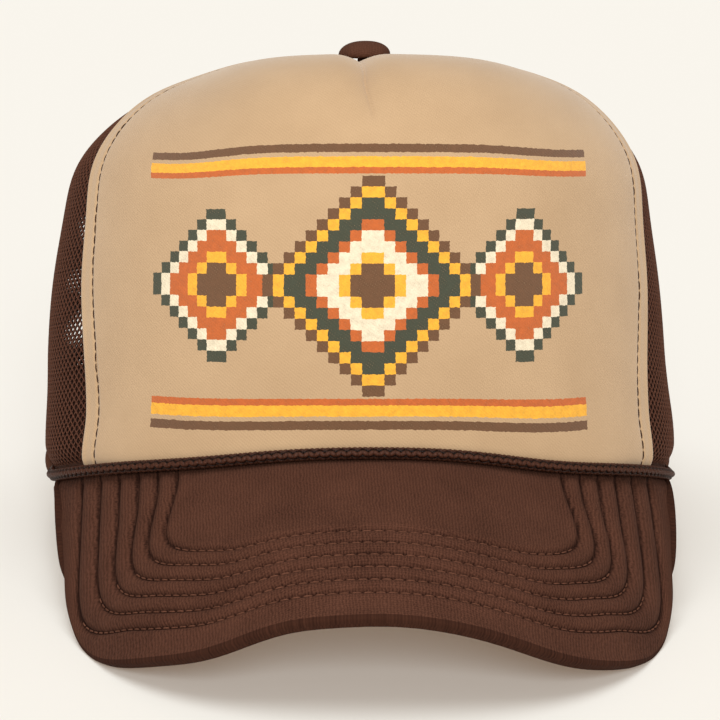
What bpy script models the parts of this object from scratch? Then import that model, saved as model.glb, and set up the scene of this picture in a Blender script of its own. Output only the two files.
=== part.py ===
"""Trucker cap: padded front panel, mesh sides and back, roped brim, snap strap at the back.

The cap is drawn in its own hat frame and then tipped back until it rests on the brim's two
low points and on the back of the strap. Hat frame: +X to the right as the cap is seen from
the front, -Y out of the forehead, +Z up, with the origin at the middle of the base plane.
Lengths are in metres.
"""

import math

import bmesh
import bpy
import numpy as np
from mathutils import Matrix, Vector

MM = 0.001

# Crown: an ellipse in plan, with a boxy front and rounder sides
CROWN_HALF_WIDTH = 92.0 * MM
CROWN_FRONT = 95.0 * MM
CROWN_BACK = 97.0 * MM
CROWN_HEIGHT = 124.0 * MM
SIDE_TAPER = 0.53
FRONT_TAPER = 0.30
HEIGHT_TAPER = 0.60
TOP_HOLE_RADIUS = 4.2 * MM
FRONT_SEAM_AT_BASE = math.radians(59.0)
FRONT_SEAM_RISE = 1.1
BACK_SEAM = math.radians(127.0)
MERIDIAN_SAMPLES = 400
MERIDIAN_CROWDING = 2.5
PANEL_ROWS = 14
FRONT_COLUMNS = 26
SIDE_COLUMNS = 9
BACK_COLUMNS = 8
SEAM_GAP = 0.4 * MM
SEAM_TRIES = 4
SURFACE_STEP = 0.02 * MM

# Panels, as distances out from the crown's surface
FRONT_OUTER = 1.0 * MM
FRONT_INNER = -2.0 * MM
MESH_OUTER = -0.3 * MM
MESH_INNER = -1.3 * MM
PANEL_LIFT = 3.1 * MM
LEVEL_EDGE_LIFT = 0.6 * MM
LEVEL_FROM = math.radians(98.0)
LEVEL_BLEND = math.radians(7.0)

# Joint of crown and brim, which arches up at the forehead
JOINT_RISE = 13.0 * MM
JOINT_ANGLE = math.radians(88.0)
JOINT_POWER = 1.57

# Brim
BRIM_HALF_WIDTH = 87.4 * MM
BRIM_CORNER_Y = -22.5 * MM
BRIM_CORNER_Z = 1.9 * MM
BRIM_REACH = 137.8 * MM
BRIM_SQUARENESS = 2.41
BRIM_FRONT_Z = -22.4 * MM
BRIM_DROOP = 30.3 * MM
BRIM_DROOP_ROUNDING = 0.301
BRIM_RETURN_POWER = 18.2
BRIM_CROWNING = 0.044
BRIM_CROWNING_WAY = Vector((0.0, -0.5, 0.85))
BRIM_THICKNESS = 3.2 * MM
BRIM_TUCK = 0.5 * MM
BRIM_COLUMNS = 36
BRIM_ROWS = 8
BRIM_END_CROWDING = 0.35
BRIM_RIM_STARTS = 0.988
BRIM_SLOPE_STEP = 0.004

# Rope along the joint, and the side buttons that hold its ends
ROPE_DIAMETER = 3.2 * MM
ROPE_STAND_OFF = 3.1 * MM
ROPE_LIFT = 2.3 * MM
ROPE_END_LIFT = 4.4 * MM
ROPE_END_STAND_OFF = 1.9 * MM
ROPE_END_ANGLE = math.radians(95.5)
ROPE_TURNS_AT = math.radians(74.0)
ROPE_POINTS = 61
SIDE_BUTTON_RADIUS = 4.6 * MM
SIDE_BUTTON_HEIGHT = 2.6 * MM
SIDE_BUTTON_ANGLE = math.radians(98.9)
SIDE_BUTTON_Z = 5.4 * MM
SIDE_BUTTON_SIDES = 16
SIDE_BUTTON_STEPS = 3

# Sweatband and seam tapes, inside
BAND_OUTER = -2.6 * MM
BAND_INNER = -3.9 * MM
BAND_TOP = 33.0 * MM
BAND_END = 59.0 * MM
BAND_COLUMNS = 46
BAND_FOLLOWS_JOINT = 0.5
TAPE_WIDTH = 11.0 * MM
TAPE_OUTER = -2.4 * MM
TAPE_INNER = -3.0 * MM
TAPE_STOP_RADIUS = 21.0 * MM
TAPE_ROWS = 10
TAPE_ABOVE_BAND = 7.0 * MM
TAPE_ABOVE_BINDING = 2.0 * MM

# Half-moon opening at the back, its binding, and the strap across it
OPENING_HALF_WIDTH = 46.0 * MM
OPENING_HEIGHT = 47.0 * MM
OPENING_STEPS = 28
CUT_FROM = 0.4 * CROWN_BACK
CUT_TO = 1.3 * CROWN_BACK
CUT_FLOOR = -10.0 * MM
BINDING_WIDTH = 8.0 * MM
BINDING_OUTER = 0.5 * MM
BINDING_INNER = -1.6 * MM
STRAP_LOW = 1.0 * MM
STRAP_HIGH = 20.0 * MM
STRAP_THICKNESS = 1.2 * MM
STRAP_TIP = 20.5 * MM
STRAP_TIP_ROUNDING = 5.0 * MM
STRAP_ROOT = 57.0 * MM
STRAP_STOPS = 24
STRAP_TIP_STOPS = (0.5, 0.8, 0.95, 1.0)
STRAP_BENDS_FROM = 45.0 * MM
STRAP_BENDS_TO = 27.0 * MM
OUTER_STRAP_FACE = 1.9 * MM
INNER_STRAP_FACE = 0.4 * MM
ROOT_FACE = -2.0 * MM
SNAP_PITCH = 9.0 * MM
SNAP_COUNT = 7
SNAP_FIRST = -13.5 * MM
SNAP_HOLE_RADIUS = 2.4 * MM
SNAP_PEG_RADIUS = 2.0 * MM
SNAP_PEG_HEIGHT = 2.4 * MM
SNAP_SIDES = 10

# Top button, with a shank through the hole where the panels meet
BUTTON_RADIUS = 7.6 * MM
BUTTON_HEIGHT = 5.0 * MM
BUTTON_SIDES = 24
BUTTON_STEPS = 6
SHANK_RADIUS = 1.9 * MM
FLANGE_RADIUS = 6.0 * MM
FLANGE_THICKNESS = 1.0 * MM
DOME_FOOT = 0.93
DOME_RIM = 0.16
DOME_FULLNESS = 0.8

CLEARANCE = 0.3 * MM
REST_FLAT = 0.4 * MM
MOST_TILT = math.radians(25.0)
TILT_TRIES = 60
TRIM_TOLERANCE = 1e-7
SHARP_ANGLE = math.radians(35.0)

TAN = (0.60, 0.41, 0.25, 1.0)
DARK_BROWN = (0.055, 0.024, 0.016, 1.0)
BROWN = (0.085, 0.037, 0.024, 1.0)


def clear_scene():
    """Remove what the file starts with."""
    for item in list(bpy.data.objects):
        bpy.data.objects.remove(item, do_unlink=True)


def make_material(name, colour, roughness):
    """Return a plain material of one colour."""
    material = bpy.data.materials.new(name)
    material.use_nodes = True
    shader = material.node_tree.nodes["Principled BSDF"]
    shader.inputs["Base Color"].default_value = colour
    shader.inputs["Roughness"].default_value = roughness
    shader.inputs["Metallic"].default_value = 0.0
    return material


def smooth_step(value):
    """Ease from 0 to 1."""
    value = min(max(value, 0.0), 1.0)
    return value * value * (3.0 - 2.0 * value)


def base_radius(angle):
    """Distance from the axis to the crown's base; angle 0 is the forehead and 90 degrees is +X."""
    depth = CROWN_FRONT if math.cos(angle) > 0.0 else CROWN_BACK
    return 1.0 / math.hypot(math.sin(angle) / CROWN_HALF_WIDTH, math.cos(angle) / depth)


def taper(angle):
    """Taper of the meridian at this angle, boxier towards the forehead."""
    front = max(math.cos(angle), 0.0) ** 2
    return SIDE_TAPER * (1.0 - front) + FRONT_TAPER * front


def meridian_point(angle, low, stop_radius, fraction):
    """Radius and height at a fraction of the way, by length, from height low to stop_radius."""
    swing = np.linspace(0.0, 1.0, MERIDIAN_SAMPLES)
    theta = math.pi / 2 * (1.0 - (1.0 - swing) ** MERIDIAN_CROWDING)
    radius = base_radius(angle) * np.cos(theta) ** taper(angle)
    height = CROWN_HEIGHT * np.sin(theta) ** HEIGHT_TAPER
    length = np.concatenate([[0.0], np.cumsum(np.hypot(np.diff(radius), np.diff(height)))])
    start = np.interp(low, height, length)
    stop = np.interp(-stop_radius, -radius, length)
    wanted = start + (stop - start) * fraction
    return float(np.interp(wanted, length, radius)), float(np.interp(wanted, length, height))


def crown_point(angle, height):
    """Point of the crown's surface at an angle and a height."""
    theta = math.asin(min(max(height / CROWN_HEIGHT, 0.0), 1.0) ** (1.0 / HEIGHT_TAPER))
    radius = base_radius(angle) * math.cos(theta) ** taper(angle)
    return Vector((radius * math.sin(angle), -radius * math.cos(angle), height))


def crown_level(point):
    """Zero on the crown's surface, and positive outside it."""
    depth = CROWN_FRONT if point.y < 0.0 else CROWN_BACK
    ratio = math.hypot(point.x / CROWN_HALF_WIDTH, point.y / depth)
    angle = math.atan2(point.x, -point.y)
    rise = max(point.z, 0.0) / CROWN_HEIGHT
    return ratio ** (2.0 / taper(angle)) + rise ** (2.0 / HEIGHT_TAPER) - 1.0


def crown_normal(point):
    """Outward normal of the crown's surface."""
    slope = []
    for axis in range(3):
        shift = Vector((0.0, 0.0, 0.0))
        shift[axis] = SURFACE_STEP
        slope.append(crown_level(point + shift) - crown_level(point - shift))
    return Vector(slope).normalized()


def joint_height(angle):
    """Height of the middle of the brim's board along the joint."""
    if abs(angle) >= JOINT_ANGLE:
        return 0.0
    return JOINT_RISE * math.cos(angle / JOINT_ANGLE * math.pi / 2) ** JOINT_POWER


def panel_low(angle):
    """Height of a panel's lower edge, above the brim in front and level behind it."""
    clear_of_brim = smooth_step((LEVEL_FROM - abs(angle)) / LEVEL_BLEND)
    return joint_height(angle) + LEVEL_EDGE_LIFT + (PANEL_LIFT - LEVEL_EDGE_LIFT) * clear_of_brim


def front_seam(height):
    """Angle of the seam between front panel and side mesh, which leans back as it rises."""
    rise = min(max(height / CROWN_HEIGHT, 0.0), 1.0)
    theta = math.asin(rise ** (1.0 / HEIGHT_TAPER)) / (math.pi / 2)
    return FRONT_SEAM_AT_BASE + (math.pi / 2 - FRONT_SEAM_AT_BASE) * theta ** FRONT_SEAM_RISE


def back_angle(distance):
    """Angle at a distance along the base from the middle of the back, positive towards +X."""
    turns = np.linspace(0.0, math.pi / 2, MERIDIAN_SAMPLES)
    radii = np.array([base_radius(math.pi - turn) for turn in turns])
    xs = radii * np.sin(turns)
    ys = radii * np.cos(turns)
    length = np.concatenate([[0.0], np.cumsum(np.hypot(np.diff(xs), np.diff(ys)))])
    return math.pi - math.copysign(float(np.interp(abs(distance), length, turns)), distance)


def back_surface(x, height):
    """Point of the crown's back surface at a place across and a height."""
    theta = math.asin((max(height, 0.0) / CROWN_HEIGHT) ** (1.0 / HEIGHT_TAPER))
    shrink = math.cos(theta) ** SIDE_TAPER
    across = x / (CROWN_HALF_WIDTH * shrink)
    return Vector((x, CROWN_BACK * shrink * math.sqrt(1.0 - across * across), height))


def mesh_object(name, bm, material, root):
    """Turn a bmesh into a named object under root."""
    bmesh.ops.recalc_face_normals(bm, faces=bm.faces)
    mesh = bpy.data.meshes.new(name)
    bm.to_mesh(mesh)
    bm.free()
    mesh.materials.append(material)
    mesh.shade_smooth()
    mesh.set_sharp_from_angle(angle=SHARP_ANGLE)
    item = bpy.data.objects.new(name, mesh)
    bpy.context.scene.collection.objects.link(item)
    item.parent = root
    return item


def loft(sections):
    """Return a bmesh through equal closed sections, capped at both ends."""
    bm = bmesh.new()
    rings = [[bm.verts.new(point) for point in section] for section in sections]
    count = len(rings[0])
    for ring, following in zip(rings, rings[1:]):
        for k in range(count):
            after = (k + 1) % count
            bm.faces.new((ring[k], ring[after], following[after], following[k]))
    bm.faces.new(list(reversed(rings[0])))
    bm.faces.new(rings[-1])
    return bm


def shell(grid, outer, inner):
    """Return a closed shell between two distances out from a grid of crown points."""
    sections = []
    for column in grid:
        directions = [crown_normal(point) for point in column]
        section = [p + n * outer for p, n in zip(column, directions)]
        section += [p + n * inner for p, n in reversed(list(zip(column, directions)))]
        sections.append(section)
    return loft_strips(sections, len(grid[0]))


def loft_strips(sections, rows):
    """Loft sections whose two long sides have rows points each, closing the ends in quads."""
    bm = bmesh.new()
    rings = [[bm.verts.new(point) for point in section] for section in sections]
    count = 2 * rows
    for ring, following in zip(rings, rings[1:]):
        for k in range(count):
            after = (k + 1) % count
            bm.faces.new((ring[k], ring[after], following[after], following[k]))
    for ring in (rings[0], rings[-1]):
        for k in range(rows - 1):
            bm.faces.new((ring[k], ring[k + 1], ring[count - 2 - k], ring[count - 1 - k]))
    return bm


def panel_grid(first_seam, last_seam, columns, rows):
    """Crown points between two seams, each seam an angle for a height, less half of the seam's gap."""
    grid = []
    for i in range(columns + 1):
        across = i / columns
        column = []
        for j in range(rows + 1):
            angle = first_seam(0.0) * (1.0 - across) + last_seam(0.0) * across
            for _ in range(SEAM_TRIES):
                low = panel_low(angle)
                radius, height = meridian_point(angle, low, TOP_HOLE_RADIUS, j / rows)
                gap = SEAM_GAP / 2 / radius
                first = first_seam(height) + gap
                last = last_seam(height) - gap
                angle = first * (1.0 - across) + last * across
            column.append(Vector((radius * math.sin(angle), -radius * math.cos(angle), height)))
        grid.append(column)
    return grid


def make_panels(root, tan, net):
    """Make the front panel and the four mesh panels; the half-moon is cut out of the back two."""
    def right_front(height):
        return front_seam(height)

    def left_front(height):
        return -front_seam(height)

    def fixed(value):
        return lambda height: value

    grid = panel_grid(left_front, right_front, FRONT_COLUMNS, PANEL_ROWS)
    mesh_object("front_panel", shell(grid, FRONT_OUTER, FRONT_INNER), tan, root)

    grid = panel_grid(right_front, fixed(BACK_SEAM), SIDE_COLUMNS, PANEL_ROWS)
    mesh_object("mesh_side_right", shell(grid, MESH_OUTER, MESH_INNER), net, root)
    grid = panel_grid(fixed(-BACK_SEAM), left_front, SIDE_COLUMNS, PANEL_ROWS)
    mesh_object("mesh_side_left", shell(grid, MESH_OUTER, MESH_INNER), net, root)

    cutter = make_opening_cutter(root)
    grid = panel_grid(fixed(BACK_SEAM), fixed(math.pi), BACK_COLUMNS, PANEL_ROWS)
    right = mesh_object("mesh_back_right", shell(grid, MESH_OUTER, MESH_INNER), net, root)
    grid = panel_grid(fixed(-math.pi), fixed(-BACK_SEAM), BACK_COLUMNS, PANEL_ROWS)
    left = mesh_object("mesh_back_left", shell(grid, MESH_OUTER, MESH_INNER), net, root)
    for panel in (right, left):
        cut = panel.modifiers.new("half_moon", "BOOLEAN")
        cut.operation = "DIFFERENCE"
        cut.object = cutter


def half_moon(half_width, height, low, count):
    """Outline of a half-moon from +X over the top to -X, no lower than low."""
    outline = []
    for k in range(count + 1):
        turn = math.pi * k / count
        outline.append((half_width * math.cos(turn), max(height * math.sin(turn), low)))
    return outline


def make_opening_cutter(root):
    """Make the guide that cuts the back panels a little outside the binding."""
    width = OPENING_HALF_WIDTH + BINDING_WIDTH + CLEARANCE
    top = OPENING_HEIGHT + BINDING_WIDTH + CLEARANCE
    outline = [(width, CUT_FLOOR)] + half_moon(width, top, 0.0, OPENING_STEPS) + [(-width, CUT_FLOOR)]
    sections = []
    for y in (CUT_FROM, CUT_TO):
        sections.append([Vector((x, y, z)) for x, z in outline])
    cutter = mesh_object("half_moon_guide", loft(sections), bpy.data.materials["net"], root)
    cutter.hide_render = True
    cutter.display_type = "WIRE"
    return cutter


def make_binding(root, cloth):
    """Make the binding round the half-moon opening."""
    inner = half_moon(OPENING_HALF_WIDTH, OPENING_HEIGHT, LEVEL_EDGE_LIFT, OPENING_STEPS)
    outer = half_moon(
        OPENING_HALF_WIDTH + BINDING_WIDTH, OPENING_HEIGHT + BINDING_WIDTH, LEVEL_EDGE_LIFT,
        OPENING_STEPS,
    )
    grid = []
    for (x_in, z_in), (x_out, z_out) in zip(inner, outer):
        middle = back_surface((x_in + x_out) / 2, (z_in + z_out) / 2)
        grid.append([back_surface(x_in, z_in), middle, back_surface(x_out, z_out)])
    mesh_object("back_opening_binding", shell(grid, BINDING_OUTER, BINDING_INNER), cloth, root)


def make_sweatband(root, cloth):
    """Make the band inside the base, open across the back strap."""
    last = back_angle(BAND_END)
    grid = []
    for i in range(BAND_COLUMNS + 1):
        angle = last * (2.0 * i / BAND_COLUMNS - 1.0)
        low = joint_height(angle) + LEVEL_EDGE_LIFT
        high = joint_height(angle) * BAND_FOLLOWS_JOINT + BAND_TOP
        grid.append([crown_point(angle, low), crown_point(angle, (low + high) / 2), crown_point(angle, high)])
    mesh_object("sweatband", shell(grid, BAND_OUTER, BAND_INNER), cloth, root)


def make_tape(name, seam, low, root, cloth):
    """Make one seam tape inside, from height low to near the button."""
    grid = []
    for side in (-0.5, 0.0, 0.5):
        column = []
        for j in range(TAPE_ROWS + 1):
            angle = seam(low)
            for _ in range(SEAM_TRIES):
                radius, height = meridian_point(angle, low, TAPE_STOP_RADIUS, j / TAPE_ROWS)
                angle = seam(height)
            turned = angle + side * TAPE_WIDTH / radius
            radius, height = meridian_point(turned, low, TAPE_STOP_RADIUS, j / TAPE_ROWS)
            column.append(Vector((radius * math.sin(turned), -radius * math.cos(turned), height)))
        grid.append(column)
    mesh_object(name, shell(grid, TAPE_OUTER, TAPE_INNER), cloth, root)


def make_tapes(root, cloth):
    """Make the five seam tapes."""
    above_band = BAND_TOP + TAPE_ABOVE_BAND
    above_binding = OPENING_HEIGHT + BINDING_WIDTH + TAPE_ABOVE_BINDING
    make_tape("seam_tape_front_right", front_seam, above_band, root, cloth)
    make_tape("seam_tape_front_left", lambda height: -front_seam(height), above_band, root, cloth)
    make_tape("seam_tape_side_right", lambda height: BACK_SEAM, above_band, root, cloth)
    make_tape("seam_tape_side_left", lambda height: -BACK_SEAM, above_band, root, cloth)
    make_tape("seam_tape_back", lambda height: math.pi, above_binding, root, cloth)


def joint_point(share):
    """Middle of the brim's board at the joint; share runs from -1 at one corner to 1."""
    angle = share * JOINT_ANGLE
    radius = base_radius(angle) - BRIM_TUCK
    return Vector((radius * math.sin(angle), -radius * math.cos(angle), joint_height(angle)))


def brim_edge_point(share):
    """Middle of the brim's outer edge, which droops to each side of the front."""
    turn = share * math.pi / 2
    x = math.copysign(abs(math.sin(turn)) ** (2.0 / BRIM_SQUARENESS), turn)
    y = BRIM_CORNER_Y - BRIM_REACH * math.cos(turn) ** (2.0 / BRIM_SQUARENESS)
    droop = BRIM_DROOP * (math.hypot(x, BRIM_DROOP_ROUNDING) - BRIM_DROOP_ROUNDING)
    full_droop = BRIM_DROOP * (math.hypot(1.0, BRIM_DROOP_ROUNDING) - BRIM_DROOP_ROUNDING)
    rise = (full_droop - BRIM_FRONT_Z + BRIM_CORNER_Z) * abs(x) ** BRIM_RETURN_POWER
    return Vector((x * BRIM_HALF_WIDTH, y, BRIM_FRONT_Z - droop + rise))


def brim_point(share, out):
    """Point of the brim's middle surface, out from 0 at the joint to 1 at the edge."""
    inner = joint_point(share)
    edge = brim_edge_point(share)
    height = BRIM_CROWNING * (edge - inner).length * 4.0 * out * (1.0 - out)
    return inner.lerp(edge, out) + BRIM_CROWNING_WAY * height


def brim_normal(share, out):
    """Normal of the brim's middle surface, towards its upper side."""
    step = BRIM_SLOPE_STEP
    across = brim_point(min(share + step, 1.0), out) - brim_point(max(share - step, -1.0), out)
    along = brim_point(share, min(out + step, 1.0)) - brim_point(share, max(out - step, 0.0))
    return along.cross(across).normalized()


def brim_bmesh():
    """Return the brim: a bent board with a rounded outer edge."""
    half = BRIM_THICKNESS / 2
    sections = []
    for i in range(BRIM_COLUMNS + 1):
        even = 2.0 * i / BRIM_COLUMNS - 1.0
        share = even * (1.0 - BRIM_END_CROWDING) + math.sin(even * math.pi / 2) * BRIM_END_CROWDING
        upper = []
        lower = []
        for j in range(BRIM_ROWS + 1):
            out = j / BRIM_ROWS * BRIM_RIM_STARTS
            point = brim_point(share, out)
            normal = brim_normal(share, out)
            upper.append(point + normal * half)
            lower.append(point - normal * half)
        tip = brim_point(share, 1.0)
        normal = brim_normal(share, 1.0)
        outward = (tip - brim_point(share, BRIM_RIM_STARTS)).normalized()
        rim = []
        for k in (1, 2, 3):
            turn = math.pi * k / 4
            rim.append(tip + normal * (half * math.cos(turn)) + outward * (half * math.sin(turn)))
        sections.append(upper + rim + list(reversed(lower)))
    return loft(sections)


def strap_face_offset(distance, face):
    """Distance out from the crown of a strap's outer face, along the back from the root inwards."""
    bend = (STRAP_BENDS_FROM - distance) / (STRAP_BENDS_FROM - STRAP_BENDS_TO)
    return ROOT_FACE + (face - ROOT_FACE) * smooth_step(bend)


def strap_point(distance, side, offset, height):
    """Point near the base at the back; distance runs from the middle towards side."""
    point = crown_point(back_angle(distance * side), height)
    outward = crown_normal(crown_point(back_angle(distance * side), STRAP_LOW))
    return point + outward * offset


def strap_bmesh(side, face):
    """Return one plain strap, rooted on side and reaching past the middle to its rounded tip."""
    middle = (STRAP_LOW + STRAP_HIGH) / 2
    stops = list(np.linspace(STRAP_ROOT, -STRAP_TIP + STRAP_TIP_ROUNDING, STRAP_STOPS))
    stops += [-STRAP_TIP + STRAP_TIP_ROUNDING * (1.0 - share) for share in STRAP_TIP_STOPS]
    sections = []
    for distance in stops:
        past = max(0.0, (-distance - (STRAP_TIP - STRAP_TIP_ROUNDING)) / STRAP_TIP_ROUNDING)
        half = (STRAP_HIGH - STRAP_LOW) / 2
        half -= STRAP_TIP_ROUNDING * (1.0 - math.sqrt(max(1.0 - past * past, 0.0)))
        outer = strap_face_offset(distance, face)
        inner = outer - STRAP_THICKNESS
        corners = ((outer, -half), (outer, half), (inner, half), (inner, -half))
        sections.append([strap_point(distance, side, offset, middle + z) for offset, z in corners])
    return loft(sections)


def snap_distances():
    """Distances of the snaps from the middle of the back, towards the strap's root."""
    return [SNAP_FIRST + SNAP_PITCH * k for k in range(SNAP_COUNT)]


def snap_cylinders(name, side, face, inwards, outwards, radius, material, root):
    """Make one guide of short radial cylinders through a strap's face, one for each snap."""
    bm = bmesh.new()
    middle = (STRAP_LOW + STRAP_HIGH) / 2
    length = inwards + outwards
    for distance in snap_distances():
        foot = strap_point(distance, side, strap_face_offset(distance, face) - inwards, middle)
        outward = crown_normal(crown_point(back_angle(distance * side), STRAP_LOW))
        turn = outward.to_track_quat("Z", "Y").to_matrix().to_4x4()
        place = Matrix.Translation(foot + outward * (length / 2)) @ turn
        bmesh.ops.create_cone(
            bm, cap_ends=True, segments=SNAP_SIDES, radius1=radius, radius2=radius, depth=length,
            matrix=place,
        )
    item = mesh_object(name, bm, material, root)
    item.hide_render = True
    item.display_type = "WIRE"
    return item


def make_straps(root, plastic, outer_bm, inner_bm):
    """Make the strap with holes and the strap with pegs that snap into it."""
    left = mesh_object("snap_strap_left", outer_bm, plastic, root)
    guide = snap_cylinders(
        "snap_hole_guide", -1.0, OUTER_STRAP_FACE, 2 * STRAP_THICKNESS, STRAP_THICKNESS,
        SNAP_HOLE_RADIUS, plastic, root,
    )
    holes = left.modifiers.new("holes", "BOOLEAN")
    holes.operation = "DIFFERENCE"
    holes.object = guide

    right = mesh_object("snap_strap_right", inner_bm, plastic, root)
    guide = snap_cylinders(
        "snap_peg_guide", 1.0, INNER_STRAP_FACE, STRAP_THICKNESS / 2, SNAP_PEG_HEIGHT,
        SNAP_PEG_RADIUS, plastic, root,
    )
    pegs = right.modifiers.new("pegs", "BOOLEAN")
    pegs.operation = "UNION"
    pegs.object = guide


def make_rope(root, cord):
    """Make the rope along the joint, as one round tube."""
    curve = bpy.data.curves.new("rope_cord", "CURVE")
    curve.dimensions = "3D"
    curve.bevel_depth = ROPE_DIAMETER / 2
    curve.bevel_resolution = 2
    curve.use_fill_caps = True
    spline = curve.splines.new("POLY")
    spline.points.add(ROPE_POINTS - 1)
    for k in range(ROPE_POINTS):
        angle = ROPE_END_ANGLE * (2.0 * k / (ROPE_POINTS - 1) - 1.0)
        near_end = smooth_step((abs(angle) - ROPE_TURNS_AT) / (ROPE_END_ANGLE - ROPE_TURNS_AT))
        height = joint_height(angle) + ROPE_LIFT + (ROPE_END_LIFT - ROPE_LIFT) * near_end
        stand_off = ROPE_STAND_OFF + (ROPE_END_STAND_OFF - ROPE_STAND_OFF) * near_end
        radius = base_radius(angle) + stand_off
        spline.points[k].co = (radius * math.sin(angle), -radius * math.cos(angle), height, 1.0)
    curve.materials.append(cord)
    rope = bpy.data.objects.new("rope_cord", curve)
    bpy.context.scene.collection.objects.link(rope)
    rope.parent = root


def turned_bmesh(profile, segments):
    """Return a solid turned round Z from (radius, height) points that start and end on the axis."""
    bm = bmesh.new()
    rings = []
    for radius, height in profile[1:-1]:
        ring = []
        for k in range(segments):
            turn = 2.0 * math.pi * k / segments
            ring.append(bm.verts.new((radius * math.cos(turn), radius * math.sin(turn), height)))
        rings.append(ring)
    low = bm.verts.new((0.0, 0.0, profile[0][1]))
    high = bm.verts.new((0.0, 0.0, profile[-1][1]))
    for k in range(segments):
        after = (k + 1) % segments
        bm.faces.new((low, rings[0][after], rings[0][k]))
        for ring, following in zip(rings, rings[1:]):
            bm.faces.new((ring[k], ring[after], following[after], following[k]))
        bm.faces.new((high, rings[-1][k], rings[-1][after]))
    return bm


def dome_profile(radius, height, base, steps):
    """Outer half of a button's section, from its lower rim up to the axis."""
    profile = [(radius * DOME_FOOT, base)]
    for k in range(steps + 1):
        turn = math.pi / 2 * k / steps
        rise = DOME_RIM + (1.0 - DOME_RIM) * math.sin(turn)
        profile.append((radius * math.cos(turn) ** DOME_FULLNESS, base + height * rise))
    profile[-1] = (0.0, base + height)
    return profile


def make_top_button(root, cloth):
    """Make the covered button, its shank and the flange inside."""
    seat = CROWN_HEIGHT + FRONT_OUTER + CLEARANCE
    flange_top = CROWN_HEIGHT + FRONT_INNER - 2 * CLEARANCE
    profile = [
        (0.0, flange_top - FLANGE_THICKNESS),
        (FLANGE_RADIUS, flange_top - FLANGE_THICKNESS),
        (FLANGE_RADIUS, flange_top),
        (SHANK_RADIUS, flange_top),
        (SHANK_RADIUS, seat),
    ]
    profile += dome_profile(BUTTON_RADIUS, BUTTON_HEIGHT, seat, BUTTON_STEPS)
    mesh_object("top_button", turned_bmesh(profile, BUTTON_SIDES), cloth, root)


def make_side_buttons(root, cloth):
    """Make the two small buttons that hold the rope's ends."""
    profile = [(0.0, 0.0)] + dome_profile(SIDE_BUTTON_RADIUS, SIDE_BUTTON_HEIGHT, 0.0, SIDE_BUTTON_STEPS)
    for name, side in (("rope_button_right", 1.0), ("rope_button_left", -1.0)):
        point = crown_point(SIDE_BUTTON_ANGLE * side, SIDE_BUTTON_Z)
        outward = crown_normal(point)
        button = mesh_object(name, turned_bmesh(profile, SIDE_BUTTON_SIDES), cloth, root)
        button.location = point + outward * (MESH_OUTER + 2 * CLEARANCE)
        button.rotation_mode = "QUATERNION"
        button.rotation_quaternion = outward.to_track_quat("Z", "Y")


def rest_tilt(front_points, back_points):
    """Angle that the cap tips back by, so that brim and strap touch the floor together."""
    def lowest(points, tilt):
        return min(p.z * math.cos(tilt) - p.y * math.sin(tilt) for p in points)

    low, high = 0.0, MOST_TILT
    for _ in range(TILT_TRIES):
        middle = (low + high) / 2
        if lowest(front_points, middle) < lowest(back_points, middle):
            low = middle
        else:
            high = middle
    return low, lowest(back_points, low)


def trim_flat(bm, up, height):
    """Cut a piece flat where it stands on the floor."""
    geometry = bm.verts[:] + bm.edges[:] + bm.faces[:]
    cut = bmesh.ops.bisect_plane(
        bm, geom=geometry, dist=TRIM_TOLERANCE, plane_co=up * height, plane_no=-up, clear_outer=True
    )
    edges = [item for item in cut["geom_cut"] if isinstance(item, bmesh.types.BMEdge)]
    bmesh.ops.holes_fill(bm, edges=edges, sides=0)


def world_bounds():
    """Lowest and highest corners of every visible object."""
    bpy.context.view_layer.update()
    graph = bpy.context.evaluated_depsgraph_get()
    points = []
    for item in bpy.context.scene.objects:
        if item.type == "EMPTY" or item.hide_render:
            continue
        shape = item.evaluated_get(graph).to_mesh()
        points += [item.matrix_world @ vertex.co for vertex in shape.vertices]
    corners = np.array([tuple(point) for point in points])
    return corners.min(axis=0), corners.max(axis=0)


def main():
    """Build the cap and stand it on the floor."""
    clear_scene()
    root = bpy.data.objects.new("cap_frame", None)
    bpy.context.scene.collection.objects.link(root)
    tan = make_material("front_cloth", TAN, 0.85)
    net = make_material("net", DARK_BROWN, 0.75)
    cloth = make_material("brown_cloth", BROWN, 0.85)
    plastic = make_material("strap_plastic", DARK_BROWN, 0.45)
    cord = make_material("rope", DARK_BROWN, 0.8)

    brim = brim_bmesh()
    outer_strap = strap_bmesh(-1.0, OUTER_STRAP_FACE)
    inner_strap = strap_bmesh(1.0, INNER_STRAP_FACE)
    tilt, floor = rest_tilt([v.co for v in brim.verts], [v.co for v in outer_strap.verts])
    up = Vector((0.0, -math.sin(tilt), math.cos(tilt)))
    trim_flat(brim, up, floor + REST_FLAT)
    trim_flat(outer_strap, up, floor + REST_FLAT)
    trim_flat(inner_strap, up, floor + REST_FLAT)

    make_panels(root, tan, net)
    mesh_object("brim", brim, cloth, root)
    make_rope(root, cord)
    make_side_buttons(root, cloth)
    make_top_button(root, cloth)
    make_sweatband(root, cloth)
    make_tapes(root, cloth)
    make_binding(root, cloth)
    make_straps(root, plastic, outer_strap, inner_strap)

    root.rotation_euler = (-tilt, 0.0, 0.0)
    low, high = world_bounds()
    root.location = Vector((0.0, -(low[1] + high[1]) / 2, -low[2]))
    bpy.context.view_layer.update()


main()
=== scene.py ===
"""Dressed model of a trucker cap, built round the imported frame.

Every shape is worked out in the hat frame, where +Z is the crown's axis and -Y comes out of
the forehead, and is then tipped back to where the cap rests. Lengths are in metres.
"""

import logging
import math
from dataclasses import dataclass, field
from enum import Enum
from functools import reduce
from typing import Callable, Sequence

import bpy
import numpy as np
from mathutils import Matrix, Vector


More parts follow.
